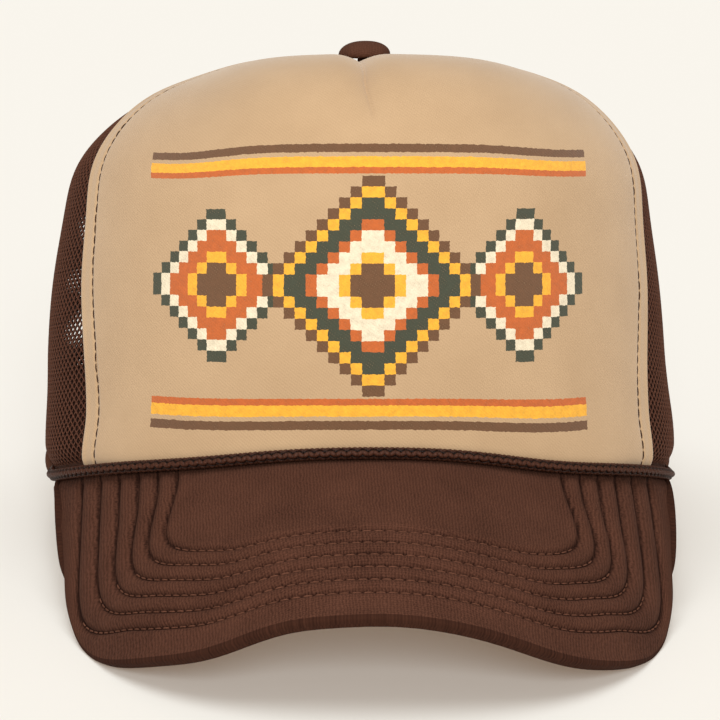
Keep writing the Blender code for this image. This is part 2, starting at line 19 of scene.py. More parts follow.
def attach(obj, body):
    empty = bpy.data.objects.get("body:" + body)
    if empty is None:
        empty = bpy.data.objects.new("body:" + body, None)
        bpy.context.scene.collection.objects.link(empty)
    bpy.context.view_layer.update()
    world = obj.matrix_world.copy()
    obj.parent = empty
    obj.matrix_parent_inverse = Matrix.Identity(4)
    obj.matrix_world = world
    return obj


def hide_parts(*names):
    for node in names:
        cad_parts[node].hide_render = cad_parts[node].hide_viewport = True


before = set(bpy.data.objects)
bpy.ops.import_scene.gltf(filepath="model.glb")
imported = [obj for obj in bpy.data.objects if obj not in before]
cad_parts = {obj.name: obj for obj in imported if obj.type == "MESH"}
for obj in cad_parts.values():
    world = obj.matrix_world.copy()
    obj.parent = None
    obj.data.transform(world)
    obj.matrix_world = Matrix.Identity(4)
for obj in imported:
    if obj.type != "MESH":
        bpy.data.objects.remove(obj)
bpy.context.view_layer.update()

MM = 0.001
FITTING_PASSES = 6
LINE_SAMPLES = 2000
LOG = logging.getLogger("trucker_cap")

Colour = tuple[float, float, float]
AngleAt = Callable[[np.ndarray], np.ndarray]


class Side(Enum):
    """Side of the cap as it is seen from the front."""

    LEFT = -1.0
    RIGHT = 1.0

    @property
    def word(self) -> str:
        """Name of the side as it stands in piece names."""
        return self.name.lower()


class Slot(Enum):
    """Material slots of the record."""

    FRONT = "front_cloth"
    NET = "net"
    BRIM = "brim_cloth"
    CLOTH = "brown_cloth"
    ROPE = "rope"
    LINING = "lining_cloth"
    PLASTIC = "strap_plastic"


def smooth_step(value: np.ndarray) -> np.ndarray:
    """Ease from 0 to 1 as value goes from 0 to 1."""
    value = np.clip(value, 0.0, 1.0)
    return value * value * (3.0 - 2.0 * value)


def unit(vectors: np.ndarray) -> np.ndarray:
    """Vectors of length 1 along the last axis."""
    return vectors / np.maximum(np.linalg.norm(vectors, axis=-1, keepdims=True), 1e-12)


def bell(value: np.ndarray, middle: float, reach: float) -> np.ndarray:
    """1 where value is at the middle, easing to 0 well beyond the reach."""
    return np.exp(-(((value - middle) / reach) ** 2))


def around(angle: np.ndarray, radius: np.ndarray, height: np.ndarray) -> np.ndarray:
    """Points at angles from the forehead, distances from the crown's axis and heights."""
    return np.stack(np.broadcast_arrays(radius * np.sin(angle), -radius * np.cos(angle), height), axis=-1)


def crowded(length: float, zones: Sequence[tuple[float, float]], fine: float, coarse: float) -> np.ndarray:
    """Places from 0 to 1 along a length, closer together in some zones.

    Args:
        length: Length to share out.
        zones: Middle and half-width of each zone with the fine step.
        fine: Step inside the zones.
        coarse: Step elsewhere.

    Returns:
        Rising shares of the length, from 0 to 1.
    """
    samples = np.linspace(0.0, length, 2 * LINE_SAMPLES)
    density = np.full_like(samples, 1.0 / coarse)
    for middle, half in zones:
        density = density + (1.0 / fine) * np.exp(-np.abs((samples - middle) / half) ** 6)
    count = np.concatenate([[0.0], np.cumsum((density[1:] + density[:-1]) / 2 * np.diff(samples))])
    steps = int(round(count[-1]))
    return np.interp(np.linspace(0.0, count[-1], steps + 1), count, samples) / length


@dataclass(frozen=True)
class HatFrame:
    """Place of the hat frame in the world: the cap leans back onto its strap.

    The numbers are the CAD's own resting place.
    """

    tilt: float = 0.19240786
    origin: tuple[float, float, float] = (0.0, 0.0293225, 0.0175303)

    def matrix(self) -> np.ndarray:
        """Rotation from the hat frame to the world."""
        return np.array(Matrix.Rotation(-self.tilt, 3, "X"))

    def to_world(self, points: np.ndarray) -> np.ndarray:
        """World places of hat-frame points."""
        return points @ self.matrix().T + np.array(self.origin)


@dataclass
class CrownForm:
    """The crown's surface: an ellipse in plan with a boxy front and rounder sides."""

    half_width: float = 92.0 * MM
    front: float = 95.0 * MM
    back: float = 97.0 * MM
    height: float = 124.0 * MM
    side_taper: float = 0.53
    front_taper: float = 0.30
    height_taper: float = 0.60
    top_hole: float = 4.2 * MM
    front_seam: float = math.radians(59.0)
    front_seam_rise: float = 1.1
    back_seam: float = math.radians(127.0)
    joint_rise: float = 13.0 * MM
    joint_angle: float = math.radians(88.0)
    joint_power: float = 1.57
    panel_gap: float = 0.6 * MM
    brim_gap: float = 2.0 * MM
    brim_gap_to: float = math.radians(98.0)
    brim_gap_fade: float = math.radians(7.0)
    seam_shift: float = 0.016
    seam_waist: float = 0.028
    seam_waist_from: float = 8.0 * MM
    seam_waist_reach: float = 16.0 * MM
    seam_drawn: float = 0.06
    seam_drawn_from: float = 55.0 * MM
    seam_drawn_reach: float = 45.0 * MM
    sag_middle: float = 0.9 * MM
    sag_middle_at: float = 48.0 * MM
    sag_middle_reach: float = 22.0 * MM
    sag_right: float = 1.1 * MM
    sag_right_at: float = 56.0 * MM
    sag_right_reach: float = 24.0 * MM
    sag_top: float = 45.0 * MM
    sag_fade: float = 28.0 * MM
    sag_depth: float = 20.0 * MM
    free_from: float = 10.0 * MM
    free_reach: float = 30.0 * MM
    highest_rise: float = 1.1
    top_shift: float = 1.2 * MM
    waist_shift: float = 1.4 * MM
    twist: float = 0.0155
    foot_swell: float = 1.5 * MM
    foot_swell_height: float = 12.0 * MM
    crest_swell: float = 2.4 * MM
    crest_swell_height: float = 95.0 * MM
    crest_half_width: float = 72.0 * MM
    swell_reach: float = 14.0 * MM
    shoulder_drop_left: float = 2.3 * MM
    shoulder_drop_right: float = 1.3 * MM
    shoulder: float = 52.0 * MM
    shoulder_reach: float = 16.0 * MM
    shoulder_rise: float = 0.6
    shoulder_fade: float = 0.25
    slope_step: float = 0.02 * MM
    halvings: int = 24
    angles: int = 721
    swings: int = 1600
    samples: int = 600
    radii: np.ndarray = field(init=False)
    heights: np.ndarray = field(init=False)
    lengths: np.ndarray = field(init=False)

    def __post_init__(self) -> None:
        """Make the table of meridians, each spaced evenly by length from base to apex."""
        swing = np.linspace(0.0, 1.0, self.swings)
        shares = np.linspace(0.0, 1.0, self.samples)
        radii = []
        heights = []
        lengths = []
        for angle in np.linspace(0.0, math.pi, self.angles):
            taper = float(self.taper(np.array(angle)))
            theta = math.pi / 2 * (1.0 - (1.0 - swing) ** (1.0 / taper))
            radius = float(self.base_radius(np.array(angle))) * np.clip(np.cos(theta), 0, 1) ** taper
            height = self.height * np.sin(theta) ** self.height_taper
            length = np.concatenate([[0.0], np.cumsum(np.hypot(np.diff(radius), np.diff(height)))])
            radii.append(np.interp(shares * length[-1], length, radius))
            heights.append(np.interp(shares * length[-1], length, height))
            lengths.append(length[-1])
        self.radii = np.array(radii)
        self.heights = np.array(heights)
        self.lengths = np.array(lengths)

    def base_radius(self, angle: np.ndarray) -> np.ndarray:
        """Distance from the axis to the base at an angle from the forehead."""
        depth = np.where(np.cos(angle) > 0.0, self.front, self.back)
        return 1.0 / np.hypot(np.sin(angle) / self.half_width, np.cos(angle) / depth)

    def taper(self, angle: np.ndarray) -> np.ndarray:
        """Taper of the meridian at an angle, boxier towards the forehead."""
        front = np.maximum(np.cos(angle), 0.0) ** 2
        return self.side_taper * (1.0 - front) + self.front_taper * front

    def look_up(self, table: np.ndarray, angle: np.ndarray, share: np.ndarray) -> np.ndarray:
        """Read a meridian table between its samples.

        Args:
            table: Radii or heights.
            angle: Angles from the forehead.
            share: Shares of the way up, by length, 0 at the base and 1 at the apex.

        Returns:
            The table's values.
        """
        row = np.clip(np.abs(angle) / math.pi, 0.0, 1.0) * (self.angles - 1)
        column = np.clip(share, 0.0, 1.0) * (self.samples - 1)
        low_row = np.minimum(row.astype(int), self.angles - 2)
        low_column = np.minimum(column.astype(int), self.samples - 2)
        down = row - low_row
        along = column - low_column
        lower = table[low_row, low_column] * (1 - along) + table[low_row, low_column + 1] * along
        upper = table[low_row + 1, low_column] * (1 - along) + table[low_row + 1, low_column + 1] * along
        return lower * (1 - down) + upper * down

    def length(self, angle: np.ndarray) -> np.ndarray:
        """Length of the meridian at an angle, from base to apex."""
        return np.interp(np.abs(angle), np.linspace(0.0, math.pi, self.angles), self.lengths)

    def search(self, low: np.ndarray, short: Callable[[np.ndarray], np.ndarray]) -> np.ndarray:
        """Share of the way up, between low and the apex, where short stops being true.

        Args:
            low: Shares where the search starts.
            short: True while a share is too low.

        Returns:
            The shares found.
        """
        high = np.ones_like(low)
        for _ in range(self.halvings):
            middle = (low + high) / 2
            before = short(middle)
            low = np.where(before, middle, low)
            high = np.where(before, high, middle)
        return (low + high) / 2

    def share_at_height(self, angle: np.ndarray, height: np.ndarray) -> np.ndarray:
        """Share of the way up at which a meridian reaches a height."""
        low = np.zeros(np.broadcast(angle, height).shape)
        return self.search(low, lambda share: self.look_up(self.heights, angle + 0 * low, share) < height)

    def share_at_radius(self, angle: np.ndarray, radius: float) -> np.ndarray:
        """Share of the way up at which a meridian has come in to a radius."""
        low = np.full(np.shape(angle), 0.5)
        return self.search(low, lambda share: self.look_up(self.radii, angle, share) > radius)

    def points(self, angle: np.ndarray, share: np.ndarray) -> np.ndarray:
        """Points of the crown's surface at angles and shares of the way up."""
        return around(angle, self.look_up(self.radii, angle, share), self.look_up(self.heights, angle, share))

    def at_height(self, angle: np.ndarray, height: np.ndarray) -> np.ndarray:
        """Points of the crown's surface at angles and heights.

        Args:
            angle: Angles from the forehead.
            height: Heights over the base.

        Returns:
            The points.
        """
        ratio = np.clip(height / self.height, 0.0, 1.0)
        theta = np.arcsin(ratio ** (1.0 / self.height_taper))
        return around(angle, self.base_radius(angle) * np.cos(theta) ** self.taper(angle), height)

    def level(self, points: np.ndarray) -> np.ndarray:
        """Zero on the surface and positive outside it.

        Args:
            points: Points in the hat frame.

        Returns:
            The level at each point.
        """
        depth = np.where(points[..., 1] < 0.0, self.front, self.back)
        ratio = np.hypot(points[..., 0] / self.half_width, points[..., 1] / depth)
        taper = self.taper(np.arctan2(points[..., 0], -points[..., 1]))
        rise = np.maximum(points[..., 2], 0.0) / self.height
        return ratio ** (2.0 / taper) + rise ** (2.0 / self.height_taper) - 1.0

    def normals(self, points: np.ndarray) -> np.ndarray:
        """Outward normals at points of the surface.

        Args:
            points: Points on the surface.

        Returns:
            Unit vectors.
        """
        step = self.slope_step
        slopes = []
        for axis in range(3):
            shift = np.zeros(3)
            shift[axis] = step
            slopes.append(self.level(points + shift) - self.level(points - shift))
        return unit(np.stack(slopes, axis=-1))

    def joint_height(self, angle: np.ndarray) -> np.ndarray:
        """Height of the joint with the brim, which arches up at the forehead."""
        turn = np.clip(np.abs(angle) / self.joint_angle, 0.0, 1.0) * math.pi / 2
        return self.joint_rise * np.maximum(np.cos(turn), 0.0) ** self.joint_power

    def panel_low(self, angle: np.ndarray) -> np.ndarray:
        """Height of the panels' lower edge, above the brim in front and level behind it."""
        over_brim = smooth_step((self.brim_gap_to - np.abs(angle)) / self.brim_gap_fade)
        return self.joint_height(angle) + self.panel_gap + self.brim_gap * over_brim

    def front_seam_at(self, height: np.ndarray) -> np.ndarray:
        """Angle of the seam between front and side at a height.

        Args:
            height: Heights over the base.

        Returns:
            The seam's angles, without its shift.
        """
        ratio = np.clip(height / self.height, 0.0, 1.0)
        theta = np.arcsin(ratio ** (1.0 / self.height_taper)) / (math.pi / 2)
        swept = self.front_seam + (math.pi / 2 - self.front_seam) * theta ** self.front_seam_rise
        drawn = self.seam_drawn * smooth_step((height - self.seam_drawn_from) / self.seam_drawn_reach)
        waist = self.seam_waist * smooth_step((height - self.seam_waist_from) / self.seam_waist_reach)
        return swept - drawn - waist

    def sag(self, side: np.ndarray) -> np.ndarray:
        """How far the joint in front sinks, at a distance to one side of the middle."""
        both = self.sag_middle * bell(np.abs(side), self.sag_middle_at, self.sag_middle_reach)
        return both + self.sag_right * bell(side, self.sag_right_at, self.sag_right_reach)

    def settle(self, points: np.ndarray) -> np.ndarray:
        """Shape the soft crown as it sits: twisted, leaning, fuller in two places and sunk at the foot.

        Args:
            points: Points in the hat frame.

        Returns:
            The moved points.
        """
        moved = points.copy()
        side, depth, up = points[..., 0], points[..., 1], points[..., 2]
        rise = np.clip(up / self.height, 0.0, self.highest_rise)
        free = smooth_step((up - self.free_from) / self.free_reach)
        foot = self.foot_swell / self.half_width * bell(up, self.foot_swell_height, self.swell_reach)
        crest = self.crest_swell / self.crest_half_width * bell(up, self.crest_swell_height, self.swell_reach)
        lean = self.top_shift * rise ** 3 - self.waist_shift * 4.0 * rise * (1.0 - rise)
        moved[..., 0] = side * (1.0 + foot + crest) + (lean - self.twist * depth) * free
        drop = np.where(side < 0.0, self.shoulder_drop_left, self.shoulder_drop_right)
        drop = drop * bell(np.abs(side), self.shoulder, self.shoulder_reach)
        drop = drop * smooth_step((rise - self.shoulder_rise) / self.shoulder_fade)
        sunk = smooth_step((self.sag_top - up) / self.sag_fade) * smooth_step(-depth / self.sag_depth)
        moved[..., 2] = up - drop - self.sag(side) * sunk
        return moved


CROWN = CrownForm()
HAT = HatFrame()


class Nodes:
    """A material's node tree, with short ways to add what the finishes need."""

    sheen_roughness = 0.5

    def __init__(self, name: str, roughness: float, sheen: float = 0.0, gloss: float = 0.0) -> None:
        """Start a material.

        Args:
            name: The material's name.
            roughness: Roughness set on the shader's own socket.
            sheen: Sheen weight of the cloth's fuzz.
            gloss: Specular level.
        """
        self.material = bpy.data.materials.new(name)
        self.material.use_nodes = True
        self.tree = self.material.node_tree
        self.shader = self.tree.nodes["Principled BSDF"]
        self.shader.inputs["Roughness"].default_value = roughness
        self.shader.inputs["Sheen Weight"].default_value = sheen
        self.shader.inputs["Sheen Roughness"].default_value = self.sheen_roughness
        self.shader.inputs["Specular IOR Level"].default_value = gloss

    def put(self, socket: bpy.types.NodeSocket, value: object) -> None:
        """Link a socket to another, or set its value.

        Args:
            socket: The socket to feed.
            value: A socket, number or colour.
        """
        if isinstance(value, bpy.types.NodeSocket):
            self.tree.links.new(value, socket)
        elif isinstance(value, tuple) and len(value) == 3 and socket.type == "RGBA":
            socket.default_value = (*value, 1.0)
        else:
            socket.default_value = value

    def surface_map(self) -> tuple[bpy.types.NodeSocket, bpy.types.NodeSocket]:
        """Distances across and along the cloth, in millimetres.

        Returns:
            The two distances.
        """
        node = self.tree.nodes.new("ShaderNodeUVMap")
        node.uv_map = "cloth"
        split = self.tree.nodes.new("ShaderNodeSeparateXYZ")
        self.put(split.inputs[0], node.outputs["UV"])
        return tuple(self.math("MULTIPLY", split.outputs[axis], 1.0 / MM) for axis in range(2))

    def painted_groove_shade_mask(self) -> bpy.types.NodeSocket:
        """Mask of the painted groove shade: 1 on a sewn line of the cloth and 0 away from it.

        Returns:
            The node's output.
        """
        node = self.tree.nodes.new("ShaderNodeAttribute")
        node.attribute_name = "painted_groove_shade_mask"
        return node.outputs["Fac"]

    def place(self) -> bpy.types.NodeSocket:
        """Place on the piece, in metres."""
        return self.tree.nodes.new("ShaderNodeTexCoord").outputs["Object"]

    def math(
        self, operation: str, first: object, second: object = None, third: object = None,
    ) -> bpy.types.NodeSocket:
        """Result of a Math node.

        Args:
            operation: The node's operation.
            first: First value.
            second: Second value.
            third: Third value.

        Returns:
            The result.
        """
        node = self.tree.nodes.new("ShaderNodeMath")
        node.operation = operation
        for socket, value in zip(node.inputs, (first, second, third)):
            if value is not None:
                self.put(socket, value)
        return node.outputs[0]

    def total(self, *parts: tuple[object, float]) -> bpy.types.NodeSocket:
        """Sum of values, each taken times its weight.

        Args:
            parts: Values and their weights.

        Returns:
            The sum.
        """
        weighed = [
            value if weight == 1.0 else self.math("MULTIPLY", value, weight) for value, weight in parts
        ]
        return reduce(lambda first, second: self.math("ADD", first, second), weighed)

    def vector(self, x: object, y: object, z: object = 0.0) -> bpy.types.NodeSocket:
        """A vector from three values.

        Args:
            x: First value.
            y: Second value.
            z: Third value.

        Returns:
            The vector.
        """
        node = self.tree.nodes.new("ShaderNodeCombineXYZ")
        for socket, value in zip(node.inputs, (x, y, z)):
            self.put(socket, value)
        return node.outputs[0]

    def noise(
        self, vector: object, scale: float, detail: float = 2.0, roughness: float = 0.5,
    ) -> bpy.types.NodeSocket:
        """Value of a Noise texture, from 0 to 1.

        Args:
            vector: Place in the noise.
            scale: Its scale.
            detail: Its levels of detail.
            roughness: Weight of the finer levels.

        Returns:
            The value.
        """
        node = self.tree.nodes.new("ShaderNodeTexNoise")
        self.put(node.inputs["Vector"], vector)
        node.inputs["Scale"].default_value = scale
        node.inputs["Detail"].default_value = detail
        node.inputs["Roughness"].default_value = roughness
        return node.outputs[0]

    def wave(self, value: object, pitch: float) -> bpy.types.NodeSocket:
        """A smooth wave from 0 to 1 that repeats every pitch of value."""
        turned = self.math("SINE", self.math("MULTIPLY", value, 2.0 * math.pi / pitch))
        return self.math("MULTIPLY_ADD", turned, 0.5, 0.5)

    def mix(self, share: object, first: object, second: object, blend: str = "MIX") -> bpy.types.NodeSocket:
        """Colour between two others.

        Args:
            share: 0 for the first colour and 1 for the second.
            first: First colour.
            second: Second colour.
            blend: The node's blend type.

        Returns:
            The colour.
        """
        node = self.tree.nodes.new("ShaderNodeMix")
        node.data_type = "RGBA"
        node.blend_type = blend
        self.put(node.inputs[0], share)
        self.put(node.inputs[6], first)
        self.put(node.inputs[7], second)
        return node.outputs[2]

    def between(
        self, value: object, low: float, high: float, start: float, stop: float,
    ) -> bpy.types.NodeSocket:
        """Value carried from one range to another, and kept inside it.

        Args:
            value: The value.
            low: Start of its own range.
            high: End of that range.
            start: Start of the new range.
            stop: End of the new range.

        Returns:
            The new value.
        """
        node = self.tree.nodes.new("ShaderNodeMapRange")
        node.clamp = True
        for index, item in enumerate((value, low, high, start, stop)):
            self.put(node.inputs[index], item)
        return node.outputs[0]

    def bump(self, height: object, distance: float) -> None:
        """Raise the surface by a height from 0 to 1 times distance.

        Args:
            height: The height.
            distance: The distance, in metres.
        """
        node = self.tree.nodes.new("ShaderNodeBump")
        node.inputs["Strength"].default_value = 1.0
        node.inputs["Distance"].default_value = distance
        self.put(node.inputs["Height"], height)
        self.put(self.shader.inputs["Normal"], node.outputs[0])

    def colour(self, value: object) -> None:
        """Set or link the base colour."""
        self.put(self.shader.inputs["Base Color"], value)


@dataclass(frozen=True)
class WovenFinish:
    """Plain or ribbed cloth, with thread bump, worn patches and painted groove shade along sewn lines."""

    name: str
    light: Colour
    dark: Colour
    across_pitch: float
    along_pitch: float
    rib_share: float = 0.5
    depth: float = 0.12 * MM
    # Strength of the painted shade of the stitch grooves along the sewn lines.
    painted_groove_shade: float = 0.0
    roughness: float = 0.95
    gloss: float = 0.08
    wander: tuple[float, float] = (1.2, 0.9)
    weave_weight: float = 0.22
    fibre_weight: float = 0.9
    patch_weight: float = 0.25
    fibre_depth: float = 0.6
    tones: tuple[float, float] = (0.42, 0.94)

    def build(self) -> bpy.types.Material:
        """Make the material.

        Returns:
            The material.
        """
        nodes = Nodes(self.name, self.roughness, gloss=self.gloss)
        across, along = nodes.surface_map()
        flat = nodes.vector(across, along)
        slow = nodes.noise(flat, 0.35)
        quick = nodes.noise(nodes.vector(across, nodes.math("MULTIPLY", along, 2.0)), 1.1)
        wandering = nodes.math("MULTIPLY_ADD", quick, self.wander[1], across)
        ribs = nodes.wave(nodes.math("MULTIPLY_ADD", slow, self.wander[0], wandering), self.across_pitch)
        threads = nodes.wave(along, self.along_pitch)
        weave = nodes.total((ribs, self.rib_share), (threads, 1.0 - self.rib_share))
        fibre = nodes.noise(flat, 2.0, 4.0, 0.9)
        patch = nodes.noise(flat, 0.06, 3.0, 0.6)
        parts = [(weave, self.weave_weight), (fibre, self.fibre_weight), (patch, self.patch_weight)]
        # Painted shade: darker along the sewn lines, standing in for the shadow in the stitch grooves.
        if self.painted_groove_shade > 0.0:
            parts.append((nodes.painted_groove_shade_mask(), -self.painted_groove_shade))
        share = nodes.between(nodes.total(*parts), *self.tones, 0.0, 1.0)
        nodes.colour(nodes.mix(share, self.dark, self.light))
        nodes.bump(nodes.total((weave, 1.0), (fibre, self.fibre_depth)), self.depth)
        return nodes.material


@dataclass(frozen=True)
class ThreadFinish:
    """Sewing thread: a twisted strand with a slight gloss."""

    name: str
    light: Colour
    dark: Colour
    scale: float = 1800.0
    patch_scale_share: float = 14.0
    roughness: float = 0.8
    gloss: float = 0.1
    depth: float = 0.08 * MM
    tones: tuple[float, float] = (0.3, 0.7)

    def build(self) -> bpy.types.Material:
        """Make the material.

        Returns:
            The material.
        """
        nodes = Nodes(self.name, self.roughness, gloss=self.gloss)
        place = nodes.place()
        twist = nodes.noise(place, self.scale, 2.0, 0.6)
        patch = nodes.noise(place, self.scale / self.patch_scale_share)
        share = nodes.between(nodes.total((twist, 0.6), (patch, 0.4)), *self.tones, 0.0, 1.0)
        nodes.colour(nodes.mix(share, self.dark, self.light))
        nodes.bump(twist, self.depth)
        return nodes.material


@dataclass(frozen=True)
class YarnFinish:
    """Laid or knitted yarn, with a painted highlight on its ridges and painted shade where it dives under.

    The cloth map's first value tells how far out a place on the yarn lies, from 0 to 1 mm, and sets the
    painted light and shade.
    """

    name: str
    light: Colour
    dark: Colour
    ply_pitch: float
    roughness: float
    gloss: float
    ply_slant: float = 0.4
    painted_ridge_light_weight: float = 0.8
    fibre_weight: float = 0.5
    ply_weight: float = 0.12
    ply_depth: float = 0.5
    depth: float = 0.1 * MM
    tones: tuple[float, float] = (0.45, 1.25)

    def build(self) -> bpy.types.Material:
        """Make the material.

        Returns:
            The material.
        """
        nodes = Nodes(self.name, self.roughness, gloss=self.gloss)
        raised, run = nodes.surface_map()
        fibre = nodes.noise(nodes.place(), 1400.0, 3.0, 0.75)
        plies = nodes.wave(nodes.math("MULTIPLY_ADD", raised, self.ply_slant, run), self.ply_pitch)
        # Painted light and shade: lighter on the ridges, darker at the sides and where the yarn dives under.
        share = nodes.total((raised, self.painted_ridge_light_weight), (fibre, self.fibre_weight), (plies, self.ply_weight))
        nodes.colour(nodes.mix(nodes.between(share, *self.tones, 0.0, 1.0), self.dark, self.light))
        nodes.bump(nodes.total((plies, self.ply_depth), (fibre, 1.0)), self.depth)
        return nodes.material


@dataclass(frozen=True)
class MouldedFinish:
    """Moulded plastic with a fine grain and slight scuffs."""

    name: str
    light: Colour
    dark: Colour
    roughness: float = 0.42
    scuffed_roughness: float = 0.62
    gloss: float = 0.5
    depth: float = 0.03 * MM

    def build(self) -> bpy.types.Material:
        """Make the material.

        Returns:
            The material.
        """
        nodes = Nodes(self.name, self.roughness, gloss=self.gloss)
        place = nodes.place()
        grain = nodes.noise(place, 2600.0, 3.0, 0.7)
        scuff = nodes.noise(place, 130.0, 4.0, 0.65)
        nodes.colour(nodes.mix(nodes.between(scuff, 0.35, 0.75, 0.0, 1.0), self.dark, self.light))
        rough = nodes.between(scuff, 0.3, 0.8, self.roughness, self.scuffed_roughness)
        nodes.put(nodes.shader.inputs["Roughness"], rough)
        nodes.bump(grain, self.depth)
        return nodes.material


@dataclass(frozen=True)
class FrontFinish:
    """Brushed tan twill over foam, printed with a band of stepped diamonds."""

    name: str = "front_twill"
    light: Colour = (0.548, 0.373, 0.221)
    dark: Colour = (0.42, 0.275, 0.156)
    gold: Colour = (0.87, 0.42, 0.035)
    rust: Colour = (0.52, 0.115, 0.025)
    green: Colour = (0.035, 0.05, 0.036)
    brown: Colour = (0.13, 0.06, 0.03)
    cream: Colour = (0.80, 0.70, 0.52)
    band_middle: float = 60.5
    band_half_width: float = 65.0
    step: float = 3.0
    ragged: float = 0.7
    roughness: float = 0.95
    sheen: float = 0.3
    gloss: float = 0.1
    depth: float = 0.07 * MM
    tones: tuple[float, float] = (0.3, 0.85)

    def stepped(
        self, nodes: Nodes, across: object, along: object, x: float, rows: int,
    ) -> bpy.types.NodeSocket:
        """Number of steps out from the middle of a stepped diamond.

        Args:
            nodes: The material's nodes.
            across: Distance across from the band's middle, in millimetres.
            along: Distance up from the band's middle, in millimetres.
            x: Where the diamond's middle is, mirrored to both sides.
            rows: Steps from the middle of the diamond to its tip.

        Returns:
            Shares of the way out, 0 in the middle and 1 at the tips.
        """
        out = nodes.math("ABSOLUTE", nodes.math("SUBTRACT", nodes.math("ABSOLUTE", across), x))
        sideways = nodes.math("FLOOR", nodes.math("DIVIDE", out, self.step))
        upwards = nodes.math("FLOOR", nodes.math("DIVIDE", nodes.math("ABSOLUTE", along), self.step))
        return nodes.math("DIVIDE", nodes.math("ADD", sideways, upwards), float(rows))

    def inside(self, nodes: Nodes, value: object, limit: float) -> bpy.types.NodeSocket:
        """1 where value is under limit, and 0 elsewhere."""
        return nodes.math("LESS_THAN", value, limit)

    def build(self) -> bpy.types.Material:
        """Make the material.

        Returns:
            The material.
        """
        nodes = Nodes(self.name, self.roughness, self.sheen, self.gloss)
        across, along = nodes.surface_map()
        spread = nodes.vector(across, along)
        twill = nodes.wave(nodes.total((across, 0.8), (along, 1.0)), 0.95)
        thread = nodes.wave(nodes.total((across, 1.0), (along, -0.35)), 0.62)
        fibre = nodes.noise(spread, 2.6, 3.0, 0.7)
        patch = nodes.noise(spread, 0.045, 3.0, 0.55)
        weave = nodes.total((twill, 0.6), (thread, 0.4))
        share = nodes.total((weave, 0.18), (fibre, 0.45), (patch, 0.5))
        cloth = nodes.mix(nodes.between(share, *self.tones, 0.0, 1.0), self.dark, self.light)

        edge = nodes.math("SUBTRACT", nodes.noise(spread, 0.9, 2.0, 0.6), 0.5)
        x, up = (nodes.math("MULTIPLY_ADD", edge, self.ragged, flat) for flat in (across, along))
        ink, cover = self.design(nodes, x, nodes.math("SUBTRACT", up, self.band_middle))
        wear = nodes.noise(spread, 0.5, 4.0, 0.75)
        shade = nodes.between(wear, 0.3, 0.75, 0.80, 1.14)
        ink = nodes.mix(1.0, ink, nodes.vector(shade, shade, shade), "MULTIPLY")
        pores = nodes.between(nodes.total((weave, 0.5), (wear, 0.5)), 0.18, 0.30, 0.55, 0.94)
        nodes.colour(nodes.mix(nodes.math("MULTIPLY", cover, pores), cloth, ink))
        nodes.bump(nodes.total((weave, 0.6), (fibre, 1.0)), self.depth)
        return nodes.material

    def design(
        self, nodes: Nodes, x: object, up: object,
    ) -> tuple[bpy.types.NodeSocket, bpy.types.NodeSocket]:
        """Colours of the printed band, and where it covers the cloth.

        Args:
            nodes: The material's nodes.
            x: Distance across from the band's middle, in millimetres.
            up: Distance up from the band's middle, in millimetres.

        Returns:
            The ink's colour, and 1 where there is ink.
        """
        side = nodes.math("ABSOLUTE", x)
        rise = nodes.math("ABSOLUTE", up)
        ink: object = self.brown
        cover: object = 0.0
        for high, low, paint in ((39.0, 36.6, self.brown), (35.4, 32.4, self.gold), (32.4, 30.6, self.rust)):
            within = nodes.math("MULTIPLY", self.inside(nodes, rise, high),
                                nodes.math("GREATER_THAN", rise, low))
            within = nodes.math("MULTIPLY", within, self.inside(nodes, side, self.band_half_width))
            ink = nodes.mix(within, ink, paint)
            cover = nodes.math("MAXIMUM", cover, within)
        medallions = (
            (43.5, 7, (self.green, self.cream, self.rust, self.gold, self.brown)),
            (0.0, 10, (self.brown, self.gold, self.green, self.rust, self.cream, self.gold, self.brown)),
        )
        for middle, rows, paints in medallions:
            steps = self.stepped(nodes, x, up, middle, rows)
            for index, paint in enumerate(paints):
                limit = (len(paints) - index) / len(paints)
                within = self.inside(nodes, steps, limit - 0.001)
                ink = nodes.mix(within, ink, paint)
                cover = nodes.math("MAXIMUM", cover, within)
        return ink, cover


